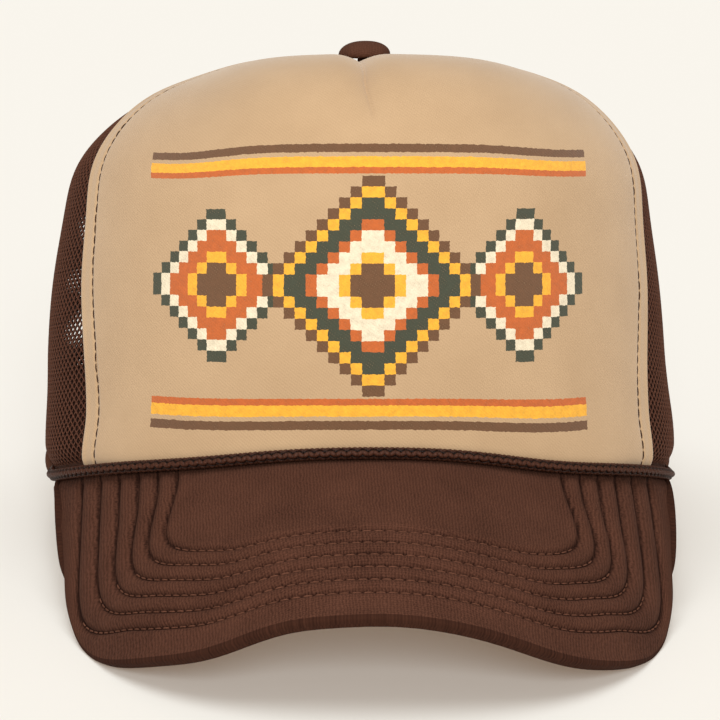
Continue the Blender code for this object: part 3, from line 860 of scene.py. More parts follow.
class Finish:
    """All finishes of the cap, each made once."""

    def __init__(self) -> None:
        """Make the materials."""
        self.front = FrontFinish().build()
        self.foam = WovenFinish(
            "front_lining", (0.10, 0.052, 0.034), (0.055, 0.026, 0.017), 1.3, 1.1).build()
        ribbed = {"across_pitch": 0.85, "along_pitch": 0.62, "rib_share": 0.65, "depth": 0.10 * MM}
        brim_dark = (0.018, 0.006, 0.0035)
        # The brim's cloth gets painted groove shade along its stitch rows, leaning towards brim_dark.
        self.brim = WovenFinish(
            "brim_twill", (0.124, 0.050, 0.031), brim_dark, painted_groove_shade=0.34, **ribbed).build()
        # A darker copy of the brim's cloth for its rolled edge: painted shade.
        self.shaded_brim_edge = WovenFinish("brim_edge_painted_shade", (0.058, 0.0215, 0.0125), brim_dark, **ribbed).build()
        self.cloth = WovenFinish(
            "brown_twill", (0.112, 0.047, 0.029), (0.058, 0.024, 0.0145), 0.8, 0.8).build()
        self.lining = WovenFinish(
            "lining_weave", (0.080, 0.036, 0.024), (0.042, 0.018, 0.012), 1.1, 0.7).build()
        # The net's dark tone is painted shade at the hole rims.
        self.net = YarnFinish(
            "net_yarn", (0.160, 0.062, 0.036), (0.016, 0.0055, 0.0035), 0.9, 0.6, 0.1).build()
        self.net_cloth = WovenFinish(
            "net_folded", (0.100, 0.045, 0.029), (0.050, 0.021, 0.014), 1.0, 1.0).build()
        # The rope's near-black dark tone is painted shade for the gaps between strands and the core.
        self.rope = YarnFinish(
            "rope_yarn", (0.088, 0.030, 0.0165), (0.0012, 0.0005, 0.0004), 0.45, 0.42, 0.12).build()
        self.thread = ThreadFinish("sewing_thread", (0.165, 0.068, 0.041), (0.075, 0.029, 0.017)).build()
        self.dark_thread = ThreadFinish(
            "topstitch_thread", (0.060, 0.026, 0.016), (0.028, 0.011, 0.007)).build()
        self.plastic = MouldedFinish("strap_plastic", (0.075, 0.036, 0.025), (0.045, 0.020, 0.014)).build()


def grid_quads(columns: int, rows: int) -> np.ndarray:
    """Quads of a grid whose points are counted row by row within each column."""
    index = np.arange(columns * rows).reshape(columns, rows)
    return np.stack([index[:-1, :-1], index[1:, :-1], index[1:, 1:], index[:-1, 1:]], axis=-1).reshape(-1, 4)


def rim_quads(columns: int, rows: int) -> np.ndarray:
    """Quads between the rims of two such grids, the second counted after the first.

    Args:
        columns: Columns of each grid.
        rows: Rows of each grid.

    Returns:
        The quads.
    """
    index = np.arange(columns * rows).reshape(columns, rows)
    rim = np.concatenate([index[:, 0], index[-1, 1:], index[-2::-1, -1], index[0, -2:0:-1]])
    after = np.roll(rim, -1)
    shift = columns * rows
    return np.stack([rim, rim + shift, after + shift, after], axis=-1)


def tube_quads(rings: int, sides: int) -> np.ndarray:
    """Quads round a tube whose points are counted ring by ring.

    Args:
        rings: Number of rings.
        sides: Points in a ring.

    Returns:
        The quads.
    """
    index = np.arange(rings * sides).reshape(rings, sides)
    after = np.roll(index, -1, axis=1)
    return np.stack([index[:-1], after[:-1], after[1:], index[1:]], axis=-1).reshape(-1, 4)


def ring_points(
    middle: np.ndarray, wide: np.ndarray, high: np.ndarray, half_width: float | np.ndarray,
    half_height: float | np.ndarray, sides: int,
) -> np.ndarray:
    """Rings of points round the middles of a strand.

    Args:
        middle: Middles of the rings.
        wide: Unit vectors across the strand.
        high: Unit vectors at right angles to wide.
        half_width: How far a ring reaches along wide, for all rings or one by one.
        half_height: How far it reaches along high.
        sides: Points in a ring.

    Returns:
        The points, with one more axis than the middles.
    """
    turns = np.linspace(0.0, 2.0 * math.pi, sides, endpoint=False)
    across = (np.asarray(half_width)[..., None] * np.cos(turns))[..., None]
    upwards = (np.asarray(half_height)[..., None] * np.sin(turns))[..., None]
    return middle[..., None, :] + wide[..., None, :] * across + high[..., None, :] * upwards


def arc_lengths(points: np.ndarray) -> np.ndarray:
    """Distance along the first axis of a grid of points, from its first line."""
    steps = np.linalg.norm(np.diff(points, axis=0), axis=-1)
    return np.concatenate([np.zeros((1,) + steps.shape[1:]), np.cumsum(steps, axis=0)], axis=0)


def make_piece(
    name: str,
    points: np.ndarray,
    faces: Sequence[Sequence[int]] | np.ndarray,
    material: bpy.types.Material,
    stands_for: Sequence[str] = (),
    cloth_map: np.ndarray | None = None,
    backing: tuple[bpy.types.Material, np.ndarray] | None = None,
) -> bpy.types.Object:
    """Make one piece of the cap from hat-frame points.

    Args:
        name: The piece's name.
        points: Points in the hat frame, one row each.
        faces: Faces as rows of point numbers.
        material: Its finish.
        stands_for: CAD nodes that the piece replaces.
        cloth_map: Distances across and along the cloth for each point, in metres.
        backing: A second finish and the faces that have it.

    Returns:
        The new object, riding on the cap.
    """
    mesh = bpy.data.meshes.new(name)
    placed = HAT.to_world(points.reshape(-1, 3))
    placed[:, 2] = np.maximum(placed[:, 2], 0.0)
    mesh.from_pydata(placed.tolist(), [], np.asarray(faces).tolist())
    if cloth_map is not None:
        layer = mesh.uv_layers.new(name="cloth")
        corners = np.empty(len(mesh.loops), dtype=np.int32)
        mesh.loops.foreach_get("vertex_index", corners)
        layer.data.foreach_set("uv", cloth_map.reshape(-1, 2)[corners].astype(np.float32).ravel())
    mesh.materials.append(material)
    if backing is not None:
        mesh.materials.append(backing[0])
        numbers = np.zeros(len(mesh.polygons), dtype=np.int32)
        numbers[backing[1]] = 1
        mesh.polygons.foreach_set("material_index", numbers)
    mesh.shade_smooth()
    mesh.update()
    piece = bpy.data.objects.new(name, mesh)
    bpy.context.scene.collection.objects.link(piece)
    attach(piece, "root")
    if stands_for:
        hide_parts(*stands_for)
    return piece


def shell(outer: np.ndarray, inner: np.ndarray) -> tuple[np.ndarray, np.ndarray]:
    """Points and faces of a closed shell between two grids of the same size.

    Args:
        outer: Grid of the outer face.
        inner: Grid of the inner face.

    Returns:
        The points, and faces as rows of point numbers.
    """
    columns, rows = outer.shape[:2]
    top = grid_quads(columns, rows)
    below = top[:, ::-1] + columns * rows
    faces = np.concatenate([top, below, rim_quads(columns, rows)])
    return np.concatenate([outer.reshape(-1, 3), inner.reshape(-1, 3)]), faces


def make_shell(
    name: str,
    outer: np.ndarray,
    inner: np.ndarray,
    cloth_map: np.ndarray,
    material: bpy.types.Material,
    stands_for: Sequence[str] = (),
    lining: bpy.types.Material | None = None,
    turned: bool = False,
) -> bpy.types.Object:
    """Make a piece of cloth that has thickness, settled on the crown.

    Args:
        name: The piece's name.
        outer: Grid of its outer face, in the hat frame.
        inner: Grid of its inner face, of the same size.
        cloth_map: Distances across and along the cloth over the grid.
        material: Its finish.
        stands_for: CAD nodes that the piece replaces.
        lining: Another finish for the inner face.
        turned: Whether the grids run the other way round.

    Returns:
        The new object.
    """
    vertices, faces = shell(CROWN.settle(outer), CROWN.settle(inner))
    if turned:
        faces = faces[:, ::-1]
    both = np.concatenate([cloth_map.reshape(-1, 2)] * 2)
    count = (outer.shape[0] - 1) * (outer.shape[1] - 1)
    backing = (lining, np.arange(count, 2 * count)) if lining else None
    return make_piece(name, vertices, faces, material, stands_for, both, backing)


class StitchRow:
    """A row of sewn stitches along a line on a surface."""

    stations = 6
    sides = 6
    tip = 0.08
    flatness = 0.8
    arch = 0.12 * MM

    def __init__(self, length: float = 2.7 * MM, gap: float = 0.55 * MM, width: float = 0.55 * MM) -> None:
        """Keep the stitch's length, the gap after it and its width.

        Args:
            length: Length of a stitch.
            gap: The gap after it.
            width: Its width.
        """
        self.length = length
        self.gap = gap
        self.width = width
        self.points: list[np.ndarray] = []
        self.faces: list[np.ndarray] = []
        self.count = 0

    def sew(self, line: np.ndarray, normals: np.ndarray, above: float = 0.1 * MM) -> None:
        """Add stitches along a line.

        Args:
            line: Points of the line on the surface.
            normals: Outward normals at those points.
            above: How far the thread's middle lies above the line.
        """
        along = arc_lengths(line)
        total = float(along[-1])
        number = int(total // (self.length + self.gap))
        if number < 1:
            return
        starts = (np.arange(number) + 0.5) * (total / number) - self.length / 2
        stations = np.linspace(0.0, 1.0, self.stations)
        round_end = np.sqrt(np.clip(1.0 - (2.0 * stations - 1.0) ** 4, 0.0, 1.0))
        half = self.width / 2 * (round_end * (1.0 - self.tip) + self.tip)
        places = starts[:, None] + stations * self.length
        middle, up = (
            np.stack([np.interp(places, along, values[:, k]) for k in range(3)], axis=-1)
            for values in (line, normals)
        )
        up = unit(up)
        sideways = unit(np.cross(unit(np.gradient(middle, axis=1)), up))
        middle = middle + up * (above + np.sin(stations * math.pi) * self.arch)[None, :, None]
        quads = tube_quads(self.stations, self.sides)
        for stitch in ring_points(middle, sideways, up, half, half * self.flatness, self.sides):
            self.points.append(stitch.reshape(-1, 3))
            self.faces.append(quads + self.count)
            self.count += self.stations * self.sides

    def finish(self, name: str, material: bpy.types.Material, slot: Slot) -> bpy.types.Object:
        """Make one piece of all stitches sewn so far."""
        return make_piece(name, np.concatenate(self.points), np.concatenate(self.faces), material)


@dataclass
class CrownPanel:
    """A stretch of the crown between two seams."""

    first: AngleAt
    last: AngleAt

    def grid(self, across: np.ndarray, along: np.ndarray) -> tuple[np.ndarray, np.ndarray, np.ndarray]:
        """Points over the panel.

        Args:
            across: Rising shares from the first seam to the last.
            along: Rising shares from the lower edge to the button.

        Returns:
            Points, their normals, and distances across from the middle and up from the base.
        """
        share_across = across[:, None] + 0.0 * along[None, :]
        angle = self.first(np.zeros_like(share_across)) * (1 - share_across)
        angle = angle + self.last(np.zeros_like(share_across)) * share_across
        for _ in range(FITTING_PASSES):
            low = CROWN.share_at_height(angle, CROWN.panel_low(angle))
            high = CROWN.share_at_radius(angle, CROWN.top_hole)
            share = low + (high - low) * along[None, :]
            height = CROWN.look_up(CROWN.heights, angle, share)
            angle = self.first(height) * (1 - share_across) + self.last(height) * share_across
        points = CROWN.points(angle, share)
        spread = arc_lengths(points)
        middle = np.array([np.interp(0.5, across, spread[:, row]) for row in range(len(along))])
        up = share * CROWN.length(angle)
        return points, CROWN.normals(points), np.stack([spread - middle, up], axis=-1)


class FrontPanel:
    """The padded front: one cloth-covered foam piece with a dart at the top."""

    outer = 1.2 * MM
    inner = -2.0 * MM
    edge_roll = 2.2 * MM
    rolled_share = 0.62
    roll_limit = 0.999
    stitch_inset = 7.3 * MM
    stitch_pull = 0.55 * MM
    seam_roll = 2.0 * MM
    seam_swell = 0.3 * MM
    seam_swell_reach = 1.1 * MM
    dart_depth = 2.5 * MM
    dart_half_width = 8.0 * MM
    dart_from = 103.0 * MM
    dart_full = 118.0 * MM
    dart_lean = 2.5 * MM
    dart_crease = 0.4 * MM
    crease_start = 6.0
    corner_tuck = 1.5 * MM
    corner_tuck_height = 4.5 * MM
    corner_from = math.radians(44.0)
    corner_fade = math.radians(12.0)
    flat_width = 200.0 * MM
    seam_zone = 9.5 * MM
    dart_zone = 6.0 * MM
    fine_step = 0.42 * MM
    coarse_step = 1.35 * MM
    rows = 150
    row_power = 0.93
    stitched_share = 0.97
    stitch_above = 0.12 * MM
    stitch_waver = ((0.22 * MM, 0.21), (0.12 * MM, 0.53))

    def __init__(self) -> None:
        """Lay the panel out between its two seams."""
        self.panel = CrownPanel(front_seam(Side.LEFT), front_seam(Side.RIGHT))

    def relief(self, points: np.ndarray, cloth: np.ndarray) -> np.ndarray:
        """Height of the cloth over the crown's surface.

        Args:
            points: Grid of surface points.
            cloth: Distances across and up for each point.

        Returns:
            Distances out from the crown's surface.
        """
        spread = arc_lengths(points)
        edge = np.minimum(spread, spread[-1:] - spread)
        roll = np.clip(1.0 - edge / self.edge_roll, 0.0, 1.0)
        rounded = 1.0 - np.sqrt(1.0 - roll ** 2 * self.roll_limit)
        rounded = (self.outer - self.inner) * self.rolled_share * rounded
        pulled = self.stitch_pull * bell(edge, self.stitch_inset, self.stitch_pull)
        swollen = self.seam_swell * bell(edge, self.seam_roll, self.seam_swell_reach)
        fade = smooth_step((points[..., 2] - self.dart_from) / (self.dart_full - self.dart_from))
        aside = np.abs(cloth[..., 0] + self.dart_lean * fade)
        valley = np.clip(1.0 - aside / self.dart_half_width, 0.0, 1.0) ** 2 * self.dart_depth * fade
        crease = self.dart_crease * bell(aside, 0.0, self.dart_crease) * smooth_step(fade * self.crease_start)
        angle = np.abs(np.arctan2(points[..., 0], -points[..., 1]))
        foot = 1.0 - (points[..., 2] - CROWN.panel_low(angle)) / self.corner_tuck_height
        corner = smooth_step((angle - self.corner_from) / self.corner_fade)
        tuck = self.corner_tuck * np.clip(foot, 0.0, 1.0) ** 2 * corner
        return self.outer - rounded - pulled + swollen - valley - crease - tuck

    def build(self, finish: Finish) -> None:
        """Make the panel and its topstitches.

        Args:
            finish: The finishes.
        """
        width = self.flat_width
        zones = [(0.0, self.seam_zone), (width / 2, self.dart_zone), (width, self.seam_zone)]
        across = crowded(width, zones, self.fine_step, self.coarse_step)
        along = np.linspace(0.0, 1.0, self.rows) ** self.row_power
        points, normals, cloth = self.panel.grid(across, along)
        cloth[..., 0] += CROWN.seam_shift * CROWN.front
        outer = points + normals * self.relief(points, cloth)[..., None]
        inner = points + normals * self.inner
        piece = make_shell(
            "front_panel_cloth", outer, inner, cloth, finish.front, ["front_panel"], finish.foam)
        self.sew(finish, points, normals, outer)

    def sew(self, finish: Finish, points: np.ndarray, normals: np.ndarray, outer: np.ndarray) -> None:
        """Sew the topstitches beside both seams.

        Args:
            finish: The finishes.
            points: Grid of surface points.
            normals: Their normals.
            outer: The cloth's own grid.
        """
        row = StitchRow(2.9 * MM, 0.16 * MM, 0.42 * MM)
        spread = arc_lengths(points)
        count = points.shape[1]
        waver = sum(size * np.sin(np.arange(count) * turn) for size, turn in self.stitch_waver)
        keep = slice(0, int(count * self.stitched_share))
        for wanted in (self.stitch_inset + waver, spread[-1] - self.stitch_inset + waver):
            line, up = (
                np.array([
                    [np.interp(wanted[j], spread[:, j], grid[:, j, k]) for k in range(3)]
                    for j in range(count)
                ])
                for grid in (outer, normals)
            )
            row.sew(CROWN.settle(line[keep]), unit(up[keep]), self.stitch_above)
        row.finish("front_topstitches", finish.dark_thread, Slot.FRONT)


@dataclass(frozen=True)
class FlatMap:
    """Carries places on flat netting onto a panel of the crown.

    It holds the shares across and along of the panel's grid, the panel's width at each row, and how
    far up each row lies at the panel's middle.
    """

    across: np.ndarray
    along: np.ndarray
    width: np.ndarray
    up: np.ndarray

    def lay(self, grid: np.ndarray, flat: np.ndarray) -> np.ndarray:
        """Read a grid of the panel at flat places.

        Args:
            grid: Values on the panel's grid.
            flat: Places across from the middle and up.

        Returns:
            The grid's values at those places.
        """
        share_up = np.interp(flat[:, 1], self.up, self.along)
        wide = np.interp(flat[:, 1], self.up, self.width)
        row = share_up * (len(self.along) - 1)
        column = np.clip(0.5 + flat[:, 0] / wide, 0.0, 1.0) * (len(self.across) - 1)
        j = np.minimum(row.astype(int), len(self.along) - 2)
        i = np.minimum(column.astype(int), len(self.across) - 2)
        v = (row - j)[:, None]
        u = (column - i)[:, None]
        near = grid[i, j] * (1 - v) + grid[i, j + 1] * v
        far = grid[i + 1, j] * (1 - v) + grid[i + 1, j + 1] * v
        return near * (1 - u) + far * u


class MeshPanel:
    """One panel of open netting, knitted as a lattice of diamond cells with round holes."""

    cell_width = 3.3 * MM
    cell_height = 2.5 * MM
    hole_at_knots = 0.62
    hole_at_strands = 0.77
    face = -0.3 * MM
    thickness = 0.75 * MM
    # Painted light of the net's yarn: lightest on the ridges, darkest at the hole rims.
    raised = (1.0 * MM, 0.15 * MM, 0.3 * MM)
    tuck = 4.2 * MM
    tuck_height = 9.0 * MM
    tuck_to = math.radians(112.0)
    tuck_fade = math.radians(14.0)
    side_gap = 0.7 * MM
    top_gap = 1.0 * MM
    cut_half_width = 50.0 * MM
    cut_height = 51.0 * MM
    weld = 0.02 * MM
    columns = 41
    rows = 161

    def __init__(self, name: str, node: str, first: AngleAt, last: AngleAt, half_moon: bool) -> None:
        """Keep the panel's name, CAD node and seams, and whether the half-moon is cut from it.

        Args:
            name: The piece's name.
            node: The CAD node that it replaces.
            first: Its first seam.
            last: Its last seam.
            half_moon: Whether the half-moon is cut from it.
        """
        self.name = name
        self.node = node
        self.half_moon = half_moon
        self.panel = CrownPanel(first, last)

    def lattice(self, width: float, length: float) -> tuple[np.ndarray, np.ndarray]:
        """Middles and corners of the net's cells, laid flat.

        Args:
            width: Width of the flat net.
            length: Length of the flat net.

        Returns:
            Middles of the cells, and eight points round each: its knots and, between them, its strands.
        """
        columns = int(width / self.cell_width) + 4
        rows = int(length / (self.cell_height / 2)) + 3
        i, j = np.meshgrid(np.arange(columns), np.arange(rows), indexing="ij")
        x = (i + 0.5 * (j % 2)) * self.cell_width - columns * self.cell_width / 2
        y = j * self.cell_height / 2
        middles = np.stack([x, y], axis=-1).reshape(-1, 2)
        knots = np.array([[1.0, 0.0], [0.0, 1.0], [-1.0, 0.0], [0.0, -1.0]])
        ring = np.stack([knots, (knots + np.roll(knots, -1, axis=0)) / 2], axis=1).reshape(-1, 2)
        return middles, middles[:, None, :] + ring * np.array([self.cell_width / 2, self.cell_height / 2])

    def build(self, finish: Finish) -> None:
        """Make the net of the panel.

        Args:
            finish: The finishes.
        """
        across = np.linspace(0.0, 1.0, self.columns)
        along = np.linspace(0.0, 1.0, self.rows)
        points, normals, _ = self.panel.grid(across, along)
        width = arc_lengths(points)[-1]
        up = arc_lengths(points[self.columns // 2][:, None, :])[:, 0]
        laid = FlatMap(across, along, width, up)
        middles, corners = self.lattice(float(width.max()), float(up[-1]))
        keep = np.abs(middles[:, 0]) < np.interp(middles[:, 1], up, width) / 2 - self.side_gap
        keep &= middles[:, 1] < up[-1] - self.top_gap
        if self.half_moon:
            place = laid.lay(points, middles)
            keep &= np.hypot(place[:, 0] / self.cut_half_width, place[:, 2] / self.cut_height) > 1.0
        middles, corners = middles[keep], corners[keep]
        shrink = np.array([self.hole_at_knots, self.hole_at_strands] * 4)[:, None]
        holes = middles[:, None, :] + (corners - middles[:, None, :]) * shrink
        shared, number = np.unique(np.round(corners.reshape(-1, 2) / self.weld), axis=0, return_inverse=True)
        number = number.reshape(-1, 8)
        flat_corners = shared * self.weld
        flat_holes = holes.reshape(-1, 2)
        ridge, ridge_up = laid.lay(points, flat_corners), unit(laid.lay(normals, flat_corners))
        rim, rim_up = laid.lay(points, flat_holes), unit(laid.lay(normals, flat_holes))
        vertices = np.concatenate([
            ridge + ridge_up * self.face,
            rim + rim_up * (self.face - self.thickness / 2),
            ridge + ridge_up * (self.face - self.thickness),
        ])
        count = len(ridge)
        below = count + len(rim)
        hole = np.arange(count, below).reshape(-1, 8)
        after = np.roll(number, -1, axis=1)
        hole_after = np.roll(hole, -1, axis=1)
        upper = np.stack([number, after, hole_after, hole], axis=-1).reshape(-1, 4)
        lower = np.stack([hole, hole_after, after + below, number + below], axis=-1).reshape(-1, 4)
        # Painted highlight on the ridges and painted shade at the hole rims.
        raised = np.repeat(self.raised, [count, len(rim), count])
        run = np.concatenate([flat_corners[:, 1], flat_holes[:, 1], flat_corners[:, 1]])
        make_piece(self.name, self.tucked(CROWN.settle(vertices)), np.concatenate([upper, lower]), finish.net,
                   [self.node], np.stack([raised, run], axis=-1))

    def tucked(self, points: np.ndarray) -> np.ndarray:
        """Points of the net, drawn in towards its lower edge above the rope.

        Args:
            points: Points of the net.

        Returns:
            The moved points.
        """
        moved = points.copy()
        angle = np.arctan2(points[..., 0], -points[..., 1])
        foot = np.clip(1.0 - (points[..., 2] - CROWN.panel_low(angle)) / self.tuck_height, 0.0, 1.0)
        ahead = smooth_step((self.tuck_to - np.abs(angle)) / self.tuck_fade)
        inwards = self.tuck * foot ** 2 * ahead
        moved[..., 0] -= np.sin(angle) * inwards
        moved[..., 1] += np.cos(angle) * inwards
        return moved


@dataclass
class Strip:
    """A narrow band of cloth along a line of the crown."""

    name: str
    width: float
    outer: float
    inner: float

    def build(
        self, line: np.ndarray, material: bpy.types.Material, slot: Slot, nodes: Sequence[str] = (),
    ) -> np.ndarray:
        """Make the band.

        Args:
            line: Middle line of the band on the crown's surface.
            material: Its finish.
            slot: Not used.
            nodes: CAD nodes that it replaces.

        Returns:
            The crown's normals along the line.
        """
        normals = CROWN.normals(line)
        sideways = unit(np.cross(unit(np.gradient(line, axis=0)), normals))
        shares = np.array([-0.5, -0.46, -0.36, -0.15, 0.0, 0.15, 0.36, 0.46, 0.5])
        rounded = np.sqrt(np.clip(1.0 - (np.abs(shares) * 2.0) ** 6, 0.0, 1.0))
        flat = line[:, None] + sideways[:, None] * (shares * self.width)[None, :, None]
        thick = self.outer - self.inner
        outer = flat + normals[:, None] * (self.inner + thick * rounded)[None, :, None]
        inner = flat + normals[:, None] * self.inner
        run = arc_lengths(line)[:, None]
        cloth = np.stack(np.broadcast_arrays((shares * self.width)[None, :], run), axis=-1)
        make_shell(self.name, outer, inner, cloth, material, nodes, turned=True)
        return normals


@dataclass
class Brim:
    """The curved brim: a board covered in cloth and sewn in rows."""

    half_width: float = 87.4 * MM
    corner_y: float = -22.5 * MM
    corner_z: float = 1.9 * MM
    reach: float = 137.8 * MM
    squareness: float = 2.41
    front_z: float = -22.4 * MM
    droop: float = 30.3 * MM
    droop_rounding: float = 0.301
    return_power: float = 18.2
    crowning: float = 0.044
    thickness: float = 3.2 * MM
    tuck: float = 0.5 * MM
    end_tuck: float = 3.4 * MM
    rows: int = 6
    first_row: float = 9.0 * MM
    row_pitch: float = 5.1 * MM
    row_start: float = 5.0 * MM
    row_margin: float = 0.4 * MM
    groove: float = 0.95 * MM
    groove_half_width: float = 0.62 * MM
    # Half-width of the painted groove shade along each stitch row.
    groove_shade_half_width: float = 0.38 * MM
    stitch_above: float = 0.28 * MM
    puff: float = 0.3 * MM
    fold: float = 0.25 * MM
    fold_at: float = 0.6 * MM
    fold_reach: float = 0.9 * MM
    side_edge: float = 89.3 * MM
    side_scale: float = 0.944
    side_from: float = 122.0 * MM
    side_reach: float = 40.0 * MM
    bends: tuple[tuple[float, float, float], ...] = (
        (-24.0 * MM, 13.0 * MM, 1.2 * MM),
        (-46.0 * MM, 12.0 * MM, -1.2 * MM),
        (50.0 * MM, 17.0 * MM, -2.4 * MM),
    )
    crowning_way: tuple[float, float, float] = (0.0, -0.5, 0.85)
    crevice: float = 0.5 * MM
    crevice_reach: float = 3.6 * MM
    rim_points: int = 10
    rim_squareness: float = 0.5
    upper_columns: int = 410
    lower_columns: int = 230
    cover_rows: int = 190
    last_row: float = 0.99
    near_edge: float = 0.97
    even_share: float = 0.65
    edge_points: int = 700
    edge_batch: int = 8000
    slope_step: float = 0.004
    corner_cloth: float = 3.0 * MM

    def joint(self, share: np.ndarray) -> np.ndarray:
        """Middle of the board at the joint, for shares from -1 to 1.

        Args:
            share: Shares of the way from the middle to a corner.

        Returns:
            The points.
        """
        angle = share * CROWN.joint_angle
        ends = smooth_step((np.abs(share) - 0.8) / 0.2)
        radius = CROWN.base_radius(angle) - self.tuck - self.end_tuck * ends
        side = radius * np.sin(angle)
        return around(angle, radius, CROWN.joint_height(angle) - CROWN.sag(side))

    def edge(self, share: np.ndarray) -> np.ndarray:
        """Middle of the outer edge, for shares from -1 to 1.

        Args:
            share: Shares of the way from the middle to a corner.

        Returns:
            The points.
        """
        turn = share * math.pi / 2
        x = np.sign(turn) * np.abs(np.sin(turn)) ** (2.0 / self.squareness)
        y = self.corner_y - self.reach * np.abs(np.cos(turn)) ** (2.0 / self.squareness)
        droop = self.droop * (np.hypot(x, self.droop_rounding) - self.droop_rounding)
        full_droop = self.droop * (math.hypot(1.0, self.droop_rounding) - self.droop_rounding)
        rise = (full_droop - self.front_z + self.corner_z) * np.abs(x) ** self.return_power
        side = x * self.half_width
        z = self.front_z - droop + rise
        for middle, reach, lift in self.bends:
            z = z + lift * bell(side, middle, reach)
        return np.stack([side, y, z], axis=-1)

    def surface(self, share: np.ndarray, out: np.ndarray) -> np.ndarray:
        """Middle surface of the board, out from 0 at the joint to 1 at the edge.

        Args:
            share: Shares across.
            out: Shares outwards.

        Returns:
            The points.
        """
        inner = self.joint(share)
        edge = self.edge(share)
        span = np.linalg.norm(edge - inner, axis=-1)
        height = self.crowning * span * 4.0 * out * (1.0 - out)
        raised = height[..., None] * np.array(self.crowning_way)
        return inner * (1 - out[..., None]) + edge * out[..., None] + raised

    def normals(self, share: np.ndarray, out: np.ndarray) -> np.ndarray:
        """Normals of the middle surface, towards its upper side.

        Args:
            share: Shares across.
            out: Shares outwards.

        Returns:
            Unit vectors.
        """
        step = self.slope_step
        right, left = np.minimum(share + step, 1.0), np.maximum(share - step, -1.0)
        outer, inner = np.minimum(out + step, 1.0), np.maximum(out - step, 0.0)
        across = self.surface(right, out) - self.surface(left, out)
        along = self.surface(share, outer) - self.surface(share, inner)
        return unit(np.cross(along, across))

    def from_edge(self, points: np.ndarray) -> np.ndarray:
        """Distance of each point from the outer edge.

        Args:
            points: Points on the board.

        Returns:
            The distances.
        """
        line = self.edge(np.linspace(-1.0, 1.0, self.edge_points))
        flat = points.reshape(-1, 3)
        found = np.empty(len(flat))
        for start in range(0, len(flat), self.edge_batch):
            batch = slice(start, start + self.edge_batch)
            part = flat[batch]
            square = (part ** 2).sum(1)[:, None] - 2.0 * part @ line.T + (line ** 2).sum(1)[None]
            found[batch] = np.sqrt(np.maximum(square.min(1), 0.0))
        return found.reshape(points.shape[:-1])

    def row_distances(self) -> np.ndarray:
        """Distances of the stitch rows from the edge."""
        return self.first_row + self.row_pitch * np.arange(self.rows)

    def quilting(self, distance: np.ndarray) -> np.ndarray:
        """Height of the cloth over the board at a distance from the edge.

        Args:
            distance: Distances from the edge.

        Returns:
            The heights.
        """
        height = np.zeros_like(distance)
        for row in self.row_distances():
            height = height - self.groove * bell(distance, row, self.groove_half_width)
        inside = smooth_step((distance - self.first_row + self.row_pitch) / self.row_pitch)
        inside = inside * smooth_step((self.row_distances()[-1] + self.row_pitch - distance) / self.row_pitch)
        puff = np.cos((distance - self.first_row) / self.row_pitch * 2.0 * math.pi)
        return height - self.puff * puff * inside + self.fold * bell(distance, self.fold_at, self.fold_reach)

    def mark_groove_shade(self, piece: bpy.types.Object, distance: np.ndarray) -> None:
        """Note on the cloth how near each point is to a stitch row, as the mask of the painted groove shade.

        Args:
            piece: The cloth.
            distance: Distances from the edge over its grid.
        """
        line = np.zeros_like(distance)
        for row in self.row_distances():
            line = np.maximum(line, bell(distance, row, self.groove_shade_half_width))
        layer = piece.data.attributes.new("painted_groove_shade_mask", "FLOAT", "POINT")
        layer.data.foreach_set("value", line.astype(np.float32).ravel())

    def cover(self, columns: int, sign: float) -> tuple[np.ndarray, ...]:
        """Grid of one face of the brim, carried round the edge to its middle.

        Args:
            columns: Points from corner to corner.
            sign: 1 for the upper face and -1 for the lower.

        Returns:
            The cloth's points, their normals, distances from the edge and cloth map.
        """
        even = np.linspace(-1.0, 1.0, columns)
        share = even * self.even_share + np.sin(even * math.pi / 2) * (1.0 - self.even_share)
        out = np.linspace(0.0, self.last_row, self.cover_rows)
        out = np.concatenate([out, np.full(self.rim_points, 1.0)])
        share_grid = share[:, None] + 0.0 * out[None, :]
        out_grid = out[None, :] + 0.0 * share[:, None]
        middle = self.surface(share_grid, out_grid)
        normal = self.normals(share_grid, out_grid)
        distance = self.from_edge(middle)
        beside = (self.side_edge - np.abs(middle[..., 0])) * self.side_scale
        weight = smooth_step((self.side_from + middle[..., 1]) / self.side_reach)
        sewn = distance * (1.0 - weight) + beside * weight
        half = self.thickness / 2
        lift = np.full(out.shape, half)
        push = np.zeros(out.shape)
        turns = np.linspace(0.0, math.pi / 2, self.rim_points)
        lift[-self.rim_points:] = half * np.abs(np.cos(turns)) ** self.rim_squareness
        lift[-1] = 0.0
        push[-self.rim_points:] = half * np.sin(turns) ** self.rim_squareness
        rim = self.surface(share_grid, np.ones_like(out_grid))
        outward = unit(rim - self.surface(share_grid, np.full_like(out_grid, self.near_edge)))
        span = np.linalg.norm(rim - self.surface(share_grid, np.zeros_like(out_grid)), axis=-1)
        crevice = self.crevice * bell(out_grid * span, 0.0, self.crevice_reach)
        begun = smooth_step(out_grid * span / self.row_start)
        quilt = (self.quilting(sewn) * begun - crevice) * (lift[None, :] / half)
        raised = sign * (lift[None, :] + quilt)
        points = middle + normal * raised[..., None] + outward * push[None, :, None]
        run = arc_lengths(middle[..., [0, 2]])
        cloth = np.stack([run - run[len(run) // 2], -middle[..., 1]], axis=-1)
        return points, normal * sign, sewn, cloth

